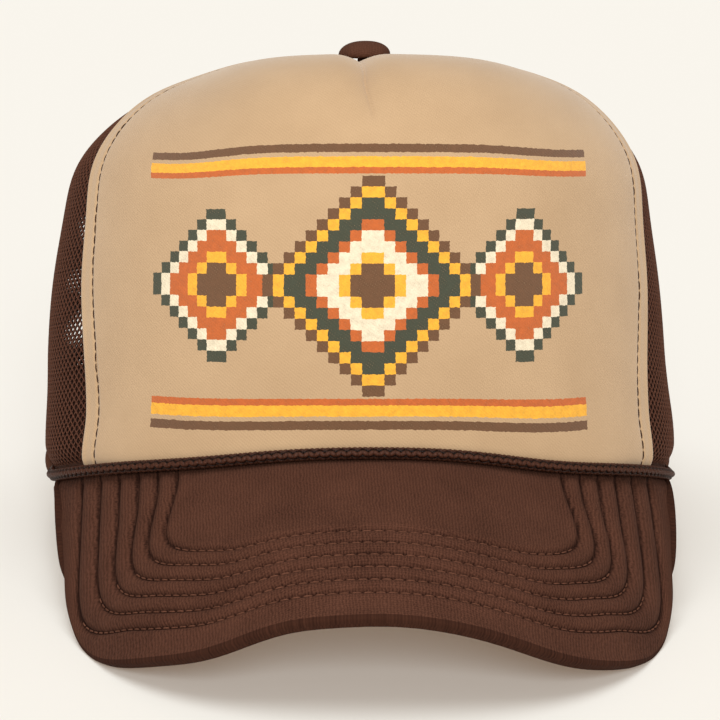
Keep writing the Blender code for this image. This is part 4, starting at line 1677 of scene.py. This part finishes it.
    def row_line(
        self, points: np.ndarray, normals: np.ndarray, distance: np.ndarray, wanted: float,
    ) -> tuple[np.ndarray, np.ndarray]:
        """Line on the cloth at one distance from the edge.

        Args:
            points: The cloth's grid.
            normals: Its normals.
            distance: Distances from the edge over the grid.
            wanted: The distance of the line.

        Returns:
            Points and normals of the line.
        """
        line = []
        up = []
        for i in range(points.shape[0]):
            near = distance[i]
            if near[0] < wanted + self.row_margin:
                continue
            j = max(int(np.argmax(near <= wanted)), 1)
            part = (near[j - 1] - wanted) / (near[j - 1] - near[j] + 1e-12)
            line.append(points[i, j - 1] * (1 - part) + points[i, j] * part)
            up.append(normals[i, j])
        return np.array(line), np.array(up)

    def build(self, finish: Finish) -> None:
        """Make the upper and lower cloths and the stitch rows.

        Args:
            finish: The finishes.
        """
        upper = self.cover(self.upper_columns, 1.0)
        lower = self.cover(self.lower_columns, -1.0)
        for name, face, way, nodes in (
            ("brim_upper_cloth", upper, -1, ["brim"]), ("brim_lower_cloth", lower, 1, []),
        ):
            quads = grid_quads(*face[0].shape[:2])
            # The rolled edge's faces get the darker copy of the cloth: painted shade.
            rim = np.arange(len(quads)).reshape(-1, face[0].shape[1] - 1)[:, -self.rim_points + 1:].ravel()
            piece = make_piece(name, face[0], quads[:, ::way], finish.brim, nodes, face[3],
                               (finish.shaded_brim_edge, rim))
            self.mark_groove_shade(piece, face[2])
        for side in Side:
            end = 0 if side is Side.LEFT else -1
            edge = np.stack([upper[0][end], lower[0][end]])
            make_piece(
                "brim_corner_" + side.word, edge, grid_quads(*edge.shape[:2]), finish.brim, (),
                np.stack([upper[3][end], upper[3][end] + self.corner_cloth]))
        row = StitchRow(2.6 * MM, 0.5 * MM, 0.5 * MM)
        for points, normals, distance, _ in (upper, lower):
            for wanted in self.row_distances():
                line, up = self.row_line(points, normals, distance, float(wanted))
                row.sew(line, up, self.stitch_above)
        row.finish("brim_stitches", finish.thread, Slot.BRIM)


@dataclass
class Rope:
    """The braided rope along the joint of crown and brim."""

    diameter: float = 3.5 * MM
    stand_off: float = 3.1 * MM
    end_stand_off: float = -1.5 * MM
    lift: float = 2.3 * MM
    end_lift: float = 3.4 * MM
    end_angle: float = math.radians(95.5)
    turns_at: float = math.radians(50.0)
    rises_at: float = math.radians(74.0)
    strands: int = 8
    lay: float = 11.6 * MM
    strand_half_width: float = 0.68 * MM
    strand_half_thickness: float = 0.5 * MM
    weave: float = 0.27 * MM
    core: float = 1.05 * MM
    ring_step: float = 0.55 * MM
    sides: int = 8
    # Painted light of the strands: least where a strand dives under, most where it crosses over.
    least_painted_light: float = 0.2
    more_painted_light: float = 0.4

    def path(self, count: int) -> np.ndarray:
        """Middle line of the rope.

        Args:
            count: Number of points.

        Returns:
            The points.
        """
        angle = np.linspace(-self.end_angle, self.end_angle, count)
        inwards = smooth_step((np.abs(angle) - self.turns_at) / (self.end_angle - self.turns_at))
        upwards = smooth_step((np.abs(angle) - self.rises_at) / (self.end_angle - self.rises_at))
        height = CROWN.joint_height(angle) + self.lift + (self.end_lift - self.lift) * upwards
        radius = CROWN.base_radius(angle) + self.stand_off + (self.end_stand_off - self.stand_off) * inwards
        return around(angle, radius, height - CROWN.sag(radius * np.sin(angle)))

    def length(self) -> float:
        """Length of the rope."""
        return float(arc_lengths(self.path(LINE_SAMPLES))[-1])

    def build(self, finish: Finish) -> None:
        """Braid the rope from crossing strands.

        Args:
            finish: The finishes.
        """
        total = self.length()
        count = int(total / self.ring_step)
        line = self.path(count)
        forward = unit(np.gradient(line, axis=0))
        side = unit(np.cross(forward, np.array([0.0, 0.0, 1.0])))
        up = unit(np.cross(side, forward))
        run = arc_lengths(line)
        points = []
        faces = []
        cloth = []
        quads = tube_quads(count, self.sides)[:, [0, 3, 2, 1]]
        outward_painted_light = np.sin(np.linspace(0.0, 2.0 * math.pi, self.sides, endpoint=False))
        for strand in range(self.strands):
            right_laid = strand % 2 == 0
            phase = 2.0 * math.pi * (strand // 2) / (self.strands / 2) + (0.0 if right_laid else math.pi / 4)
            turn = (1.0 if right_laid else -1.0) * 2.0 * math.pi * run / self.lay + phase
            crossing = 4.0 * (run * 2.0 * math.pi / self.lay) + (0.0 if right_laid else math.pi)
            radius = self.diameter / 2 - self.strand_half_thickness - self.weave * (1.0 - np.cos(crossing))
            out = side * np.cos(turn)[:, None] + up * np.sin(turn)[:, None]
            middle = line + out * radius[:, None]
            wide = unit(np.cross(unit(np.gradient(middle, axis=0)), out))
            points.append(ring_points(middle, wide, out, self.strand_half_width, self.strand_half_thickness,
                                      self.sides).reshape(-1, 3))
            faces.append(quads + strand * count * self.sides)
            # Painted highlight where a strand crosses over and faces out; painted shade where it dives under
            # and faces in.
            raised = self.least_painted_light + self.more_painted_light * (1.0 + np.cos(crossing))
            over = raised[:, None] * (0.5 + 0.5 * outward_painted_light[None, :])
            cloth.append(np.stack([over * MM, run[:, None] + 0 * over], axis=-1).reshape(-1, 2))
        make_piece("rope_braid", np.concatenate(points), np.concatenate(faces), finish.rope,
                   ["rope_cord"], np.concatenate(cloth))
        # A near-black core between the strands: painted shade in the braid's gaps.
        core = ring_points(line, side, up, self.core, self.core, self.sides)
        make_piece("rope_painted_shade_core", core, quads, finish.rope, (), np.zeros((count * self.sides, 2)))
        LOG.info("rope length %.0f mm", total / MM)


@dataclass
class CoveredButton:
    """A small dome covered in gathered cloth."""

    radius: float
    height: float
    puckers: int
    pucker_depth: float = 0.1 * MM
    lobes: int = 5
    lobe_turn: float = 1.3
    columns: int = 96
    dome_rows: int = 22
    dome_power: float = 0.85
    under_turn: float = 0.35
    rim_share: float = 0.18
    shank: tuple[tuple[float, float], ...] = (
        (0.0, -4.6 * MM), (5.6 * MM, -4.6 * MM), (6.0 * MM, -4.3 * MM), (6.0 * MM, -3.8 * MM),
        (5.6 * MM, -3.6 * MM), (1.9 * MM, -3.6 * MM), (1.9 * MM, -0.2 * MM),
    )

    def profile(self, shank: bool) -> list[tuple[float, float]]:
        """Radii and heights from the middle of the underside to the top.

        Args:
            shank: Whether the shank is part of it.

        Returns:
            The profile's points.
        """
        profile = list(self.shank) if shank else [(0.0, 0.0)]
        for turn in np.linspace(-self.under_turn, math.pi / 2, self.dome_rows):
            radius = self.radius * max(math.cos(turn), 0.0) ** self.dome_power + 1e-6
            if turn > 0:
                rise = self.rim_share + (1.0 - self.rim_share) * math.sin(turn)
            else:
                rise = self.rim_share * (1 + turn / self.under_turn)
            profile.append((radius, self.height * rise))
        return profile

    def build(
        self, name: str, node: str, seat: np.ndarray, axis: np.ndarray, finish: Finish, shank: bool,
    ) -> None:
        """Make the button.

        Args:
            name: The piece's name.
            node: The CAD node that it replaces.
            seat: Middle of its underside, in the hat frame.
            axis: The way its top points.
            finish: The finishes.
            shank: Whether a shank and flange reach down inside.
        """
        turns = np.linspace(0.0, 2.0 * math.pi, self.columns, endpoint=False)
        axes = np.array(Vector(axis).to_track_quat("Z", "Y").to_matrix())
        rings = []
        for radius, height in self.profile(shank):
            ratio = min(radius / self.radius, 1.0)
            fold = np.sin(turns * self.puckers) * self.pucker_depth * ratio ** 3 * (height >= 0)
            fold = fold + np.sin(turns * self.lobes + self.lobe_turn) * self.pucker_depth * 0.5 * ratio
            reach = radius + fold
            flat = [reach * np.cos(turns), reach * np.sin(turns)]
            local = np.stack([*flat, np.full(self.columns, height)], axis=-1)
            rings.append(local @ axes.T + seat)
        grid = np.array(rings)
        cloth = np.stack([grid[..., 0], grid[..., 1] + grid[..., 2]], axis=-1)
        placed = CROWN.settle(grid) if shank else grid
        quads = tube_quads(len(rings), self.columns)
        make_piece(name, placed, quads, finish.cloth, [node], cloth)


@dataclass
class Buttons:
    """The button on top and the two small ones at the rope's ends."""

    top: CoveredButton = field(default_factory=lambda: CoveredButton(7.6 * MM, 5.0 * MM, 9))
    top_stand: float = 1.3 * MM
    end: CoveredButton = field(default_factory=lambda: CoveredButton(4.6 * MM, 2.6 * MM, 11))
    end_angle: float = math.radians(98.9)
    end_height: float = 5.4 * MM
    end_stand: float = 0.3 * MM

    def build(self, finish: Finish) -> None:
        """Make the three buttons.

        Args:
            finish: The finishes.
        """
        seat = np.array([0.0, 0.0, CROWN.height + self.top_stand])
        self.top.build("top_button_cloth", "top_button", seat, np.array([0.0, 0.0, 1.0]), finish, True)
        for side in Side:
            point = CROWN.at_height(np.array(side.value * self.end_angle), np.array(self.end_height))
            axis = CROWN.normals(point)
            self.end.build("rope_button_cloth_" + side.word, "rope_button_" + side.word,
                           point + axis * self.end_stand, axis, finish, False)


class BackOpening:
    """The half-moon opening at the back and its binding."""

    half_width = 46.0 * MM
    height = 47.0 * MM
    lowest = 0.6 * MM
    binding = 8.0 * MM
    binding_points = 150
    stitch_inset = 1.6 * MM
    stitch_above = 0.62 * MM
    stitch_points = 220
    stitch_margin = 4

    def line(self, grow: float, count: int) -> np.ndarray:
        """Half-moon on the crown's surface, grown by a distance.

        Args:
            grow: How far it is grown.
            count: Number of points.

        Returns:
            The points.
        """
        turn = np.linspace(0.0, math.pi, count)
        x = (self.half_width + grow) * np.cos(turn)
        z = np.maximum((self.height + grow) * np.sin(turn), self.lowest)
        theta = np.arcsin((z / CROWN.height) ** (1.0 / CROWN.height_taper))
        shrink = np.cos(theta) ** CROWN.side_taper
        y = CROWN.back * shrink * np.sqrt(1.0 - (x / (CROWN.half_width * shrink)) ** 2)
        return np.stack([x, y, z], axis=-1)

    def build(self, finish: Finish) -> None:
        """Make the binding and its stitches.

        Args:
            finish: The finishes.
        """
        middle = self.line(self.binding / 2, self.binding_points)
        strip = Strip("opening_binding_cloth", self.binding, 0.7 * MM, -1.7 * MM)
        strip.build(middle, finish.cloth, Slot.CLOTH, ["back_opening_binding"])
        row = StitchRow()
        for grow in (self.stitch_inset, self.binding - self.stitch_inset):
            line = self.line(grow, self.stitch_points)[self.stitch_margin:-self.stitch_margin]
            row.sew(CROWN.settle(line), CROWN.normals(line), self.stitch_above)
        row.finish("opening_stitches", finish.thread, Slot.CLOTH)


class Lining:
    """The sweatband and the seam tapes inside the crown."""

    band_top = 33.0 * MM
    band_end = 59.0 * MM
    band_outer = -2.6 * MM
    band_inner = -3.9 * MM
    band_columns = 260
    band_shares = (0.0, 0.012, 0.04, 0.09, 0.2, 0.4, 0.6, 0.8, 0.93, 0.975, 1.0)
    stitched_shares = (2, 8)
    ripple = 0.12 * MM
    ripple_turns = 60.0
    hem_swell = 0.25 * MM
    hem_at = 0.06
    hem_reach = 0.05
    tape_above_band = 7.0 * MM
    tape_above_opening = 57.0 * MM
    tape_width = 11.0 * MM
    tape_outer = -2.4 * MM
    tape_inner = -3.0 * MM
    tape_stop = 21.0 * MM
    tape_points = 90

    def build(self, finish: Finish) -> None:
        """Make the sweatband and the five tapes.

        Args:
            finish: The finishes.
        """
        last = back_angle(self.band_end)
        angle = np.linspace(-last, last, self.band_columns)
        share = np.array(self.band_shares)
        low = CROWN.joint_height(angle) + CROWN.panel_gap
        high = CROWN.joint_height(angle) / 2 + self.band_top
        height = low[:, None] + (high - low)[:, None] * share[None, :]
        points = CROWN.at_height(angle[:, None] + 0 * height, height)
        normals = CROWN.normals(points)
        ripple = self.ripple * np.sin(angle * self.ripple_turns)[:, None] * np.sin(share * math.pi)[None, :]
        swell = self.hem_swell * bell(share, self.hem_at, self.hem_reach)[None, :]
        outer = points + normals * self.band_outer
        inner = points + normals * (self.band_inner - ripple - swell)[..., None]
        run = arc_lengths(points[:, 5])[:, None] + 0 * height
        cloth = np.stack([run, height], axis=-1)
        make_shell("sweatband_cloth", outer, inner, cloth, finish.lining, ["sweatband"])
        row = StitchRow()
        for place in self.stitched_shares:
            row.sew(CROWN.settle(inner[:, place]), -normals[:, place])
        row.finish("sweatband_stitches", finish.thread, Slot.LINING)
        above_band = self.band_top + self.tape_above_band
        for side in Side:
            self.tape("seam_tape_front_" + side.word, front_seam(side), above_band, finish)
            self.tape("seam_tape_side_" + side.word, fixed(side.value * CROWN.back_seam), above_band, finish)
        self.tape("seam_tape_back", fixed(math.pi), self.tape_above_opening, finish)

    def tape(self, node: str, seam: AngleAt, low: float, finish: Finish) -> None:
        """Make one tape along a seam, from a height to near the button.

        Args:
            node: The CAD node that it replaces.
            seam: The seam.
            low: Height where the tape starts.
            finish: The finishes.
        """
        line = seam_line(seam, low, self.tape_stop, self.tape_points)
        strip = Strip(node + "_cloth", self.tape_width, self.tape_outer, self.tape_inner)
        strip.build(line, finish.lining, Slot.LINING, [node])


def fixed(angle: float) -> AngleAt:
    """A seam that stays at one angle."""
    return lambda height: angle + 0.0 * height


def front_seam(side: Side) -> AngleAt:
    """The seam between front and mesh on one side."""
    return lambda height: side.value * CROWN.front_seam_at(height) + CROWN.seam_shift


def seam_line(seam: AngleAt, low: float, stop_radius: float, count: int) -> np.ndarray:
    """Line up a seam on the crown's surface.

    Args:
        seam: The seam's angle at a height.
        low: Height where the line starts.
        stop_radius: Distance from the axis where it ends.
        count: Number of points.

    Returns:
        The points.
    """
    share = np.linspace(0.0, 1.0, count)
    angle = seam(np.full(count, low))
    for _ in range(FITTING_PASSES):
        start = CROWN.share_at_height(angle, np.full(count, low))
        stop = CROWN.share_at_radius(angle, stop_radius)
        place = start + (stop - start) * share
        angle = seam(CROWN.look_up(CROWN.heights, angle, place))
    return CROWN.points(angle, place)


def back_angle(distance: float) -> float:
    """Angle at a distance along the base from the middle of the back, positive towards +X.

    Args:
        distance: The distance along the base.

    Returns:
        The angle from the forehead.
    """
    turns = np.linspace(0.0, math.pi / 2, LINE_SAMPLES)
    radii = CROWN.base_radius(math.pi - turns)
    line = np.stack([radii * np.sin(turns), radii * np.cos(turns)], axis=-1)
    return math.pi - math.copysign(float(np.interp(abs(distance), arc_lengths(line), turns)), distance)


class Seams:
    """The outside seams between the mesh panels, and the hem at their foot."""

    low = 2.0 * MM
    low_at_back = 55.5 * MM
    stop = 6.5 * MM
    points = 120
    seam_width = 6.4 * MM
    seam_faces = (0.35 * MM, -1.2 * MM)
    seam_stitch = 1.9 * MM
    seam_stitch_above = 0.4 * MM
    hem_from = math.radians(96.0)
    hem_end = 54.0 * MM
    hem_middle = 2.2 * MM
    hem_width = 4.4 * MM
    hem_faces = (0.1 * MM, -1.3 * MM)
    hem_stitch_above = 0.2 * MM

    def build(self, finish: Finish) -> None:
        """Make the folded seams, the hem and their stitches.

        Args:
            finish: The finishes.
        """
        row = StitchRow()
        seams = (
            ("net_seam_side_right", fixed(CROWN.back_seam), self.low),
            ("net_seam_side_left", fixed(-CROWN.back_seam), self.low),
            ("net_seam_back", fixed(math.pi), self.low_at_back),
        )
        for name, seam, low in seams:
            line = seam_line(seam, low, self.stop, self.points)
            normals = Strip(name, self.seam_width, *self.seam_faces).build(line, finish.net_cloth, Slot.NET)
            sideways = unit(np.cross(unit(np.gradient(line, axis=0)), normals))
            for aside in (-self.seam_stitch, self.seam_stitch):
                row.sew(CROWN.settle(line + sideways * aside), normals, self.seam_stitch_above)
        for side in Side:
            angle = side.value * np.linspace(self.hem_from, back_angle(self.hem_end), self.points)
            line = CROWN.at_height(angle, CROWN.panel_low(angle) + self.hem_middle)
            strip = Strip("net_hem_" + side.word, self.hem_width, *self.hem_faces)
            normals = strip.build(line, finish.net_cloth, Slot.NET)
            row.sew(CROWN.settle(line), normals, self.hem_stitch_above)
        row.finish("net_stitches", finish.thread, Slot.NET)


class Studio:
    """Pale floor, soft lights and the camera at the photograph's angle."""

    elevation = math.radians(4.68)
    turn = math.radians(2.0)
    distance = 1100.0 * MM
    pixels_per_mm = 3.358
    picture_width = 720.0
    sensor = 36.0
    aim = (0.08 * MM, 35.7 * MM)
    sky = (0.352, 0.339, 0.312)
    light_colour = (1.0, 0.985, 0.95)
    lights = (("overhead", (-0.08, -0.15, 1.0), 1.55, 50.0), ("front", (0.0, -1.0, 0.44), 2.3, 20.0))
    floor_colour = (0.664, 0.698, 0.707)
    floor_glow = (0.20, 0.142, 0.098)
    floor_roughness = 0.9
    floor_reach = 6.0

    def camera(self) -> None:
        """Place the camera."""
        e, w = self.elevation, self.turn
        right = np.array([math.cos(w), -math.sin(w), 0.0])
        ahead = np.array([math.sin(w) * math.cos(e), math.cos(w) * math.cos(e), -math.sin(e)])
        up = np.cross(right, ahead)
        place = -ahead * self.distance
        target = right * self.aim[0] + up * self.aim[1]
        turned = HAT.matrix()
        ahead = unit(target - place)
        right = unit(np.cross(ahead, up))
        up = np.cross(right, ahead)
        axes = np.stack([turned @ right, turned @ up, -(turned @ ahead)], axis=-1)
        data = bpy.data.cameras.new("camera")
        data.sensor_width = self.sensor
        data.lens = self.sensor * self.pixels_per_mm * self.distance / MM / self.picture_width
        data.clip_start = 0.01
        data.clip_end = 50.0
        item = bpy.data.objects.new("camera", data)
        matrix = np.eye(4)
        matrix[:3, :3] = axes
        matrix[:3, 3] = HAT.to_world(place[None])[0]
        item.matrix_world = Matrix(matrix.tolist())
        bpy.context.scene.collection.objects.link(item)
        bpy.context.scene.camera = item

    def light(self, name: str, comes_from: Sequence[float], strength: float, spread: float) -> None:
        """Add one broad soft light.

        Args:
            name: Its name.
            comes_from: Direction towards the light.
            strength: Its strength on a surface that faces it.
            spread: Angle that the light fills, in degrees.
        """
        data = bpy.data.lights.new(name, "SUN")
        data.energy = strength
        data.angle = math.radians(spread)
        data.color = self.light_colour
        item = bpy.data.objects.new(name, data)
        item.rotation_euler = (-Vector(comes_from)).to_track_quat("-Z", "Y").to_euler()
        bpy.context.scene.collection.objects.link(item)

    def floor(self) -> None:
        """Lay the floor."""
        mesh = bpy.data.meshes.new("floor")
        reach = self.floor_reach
        corners = [(-reach, -reach, 0), (reach, -reach, 0), (reach, reach, 0), (-reach, reach, 0)]
        mesh.from_pydata(corners, [], [(0, 1, 2, 3)])
        nodes = Nodes("pale_floor", self.floor_roughness)
        nodes.colour(self.floor_colour)
        nodes.shader.inputs["Emission Color"].default_value = (*self.floor_glow, 1.0)
        nodes.shader.inputs["Emission Strength"].default_value = 1.0
        mesh.materials.append(nodes.material)
        item = bpy.data.objects.new("floor", mesh)
        bpy.context.scene.collection.objects.link(item)

    def build(self) -> None:
        """Set up the studio."""
        scene = bpy.context.scene
        scene.view_settings.view_transform = "Standard"
        world = bpy.data.worlds.new("studio")
        world.use_nodes = True
        background = world.node_tree.nodes["Background"]
        background.inputs["Color"].default_value = (*self.sky, 1.0)
        background.inputs["Strength"].default_value = 1.0
        scene.world = world
        self.floor()
        for name, comes_from, strength, spread in self.lights:
            self.light(name, comes_from, strength, spread)
        self.camera()


def main() -> None:
    """Build the cap and the studio."""
    logging.basicConfig(level=logging.INFO, format="%(name)s: %(message)s")
    finish = Finish()
    Studio().build()
    FrontPanel().build(finish)
    LOG.info("front panel made")
    for side in Side:
        back_seam = fixed(side.value * CROWN.back_seam)
        MeshPanel("mesh_net_side_" + side.word, "mesh_side_" + side.word, front_seam(side), back_seam,
                  False).build(finish)
        MeshPanel("mesh_net_back_" + side.word, "mesh_back_" + side.word, back_seam,
                  fixed(side.value * math.pi), True).build(finish)
    LOG.info("mesh panels made")
    Seams().build(finish)
    Brim().build(finish)
    LOG.info("brim made")
    Rope().build(finish)
    Buttons().build(finish)
    LOG.info("rope and buttons made")
    BackOpening().build(finish)
    Lining().build(finish)
    LOG.info("binding and lining made")
    for node in ("snap_strap_left", "snap_strap_right"):
        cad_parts[node].material_slots[0].material = finish.plastic


if __name__ == "__main__":
    main()
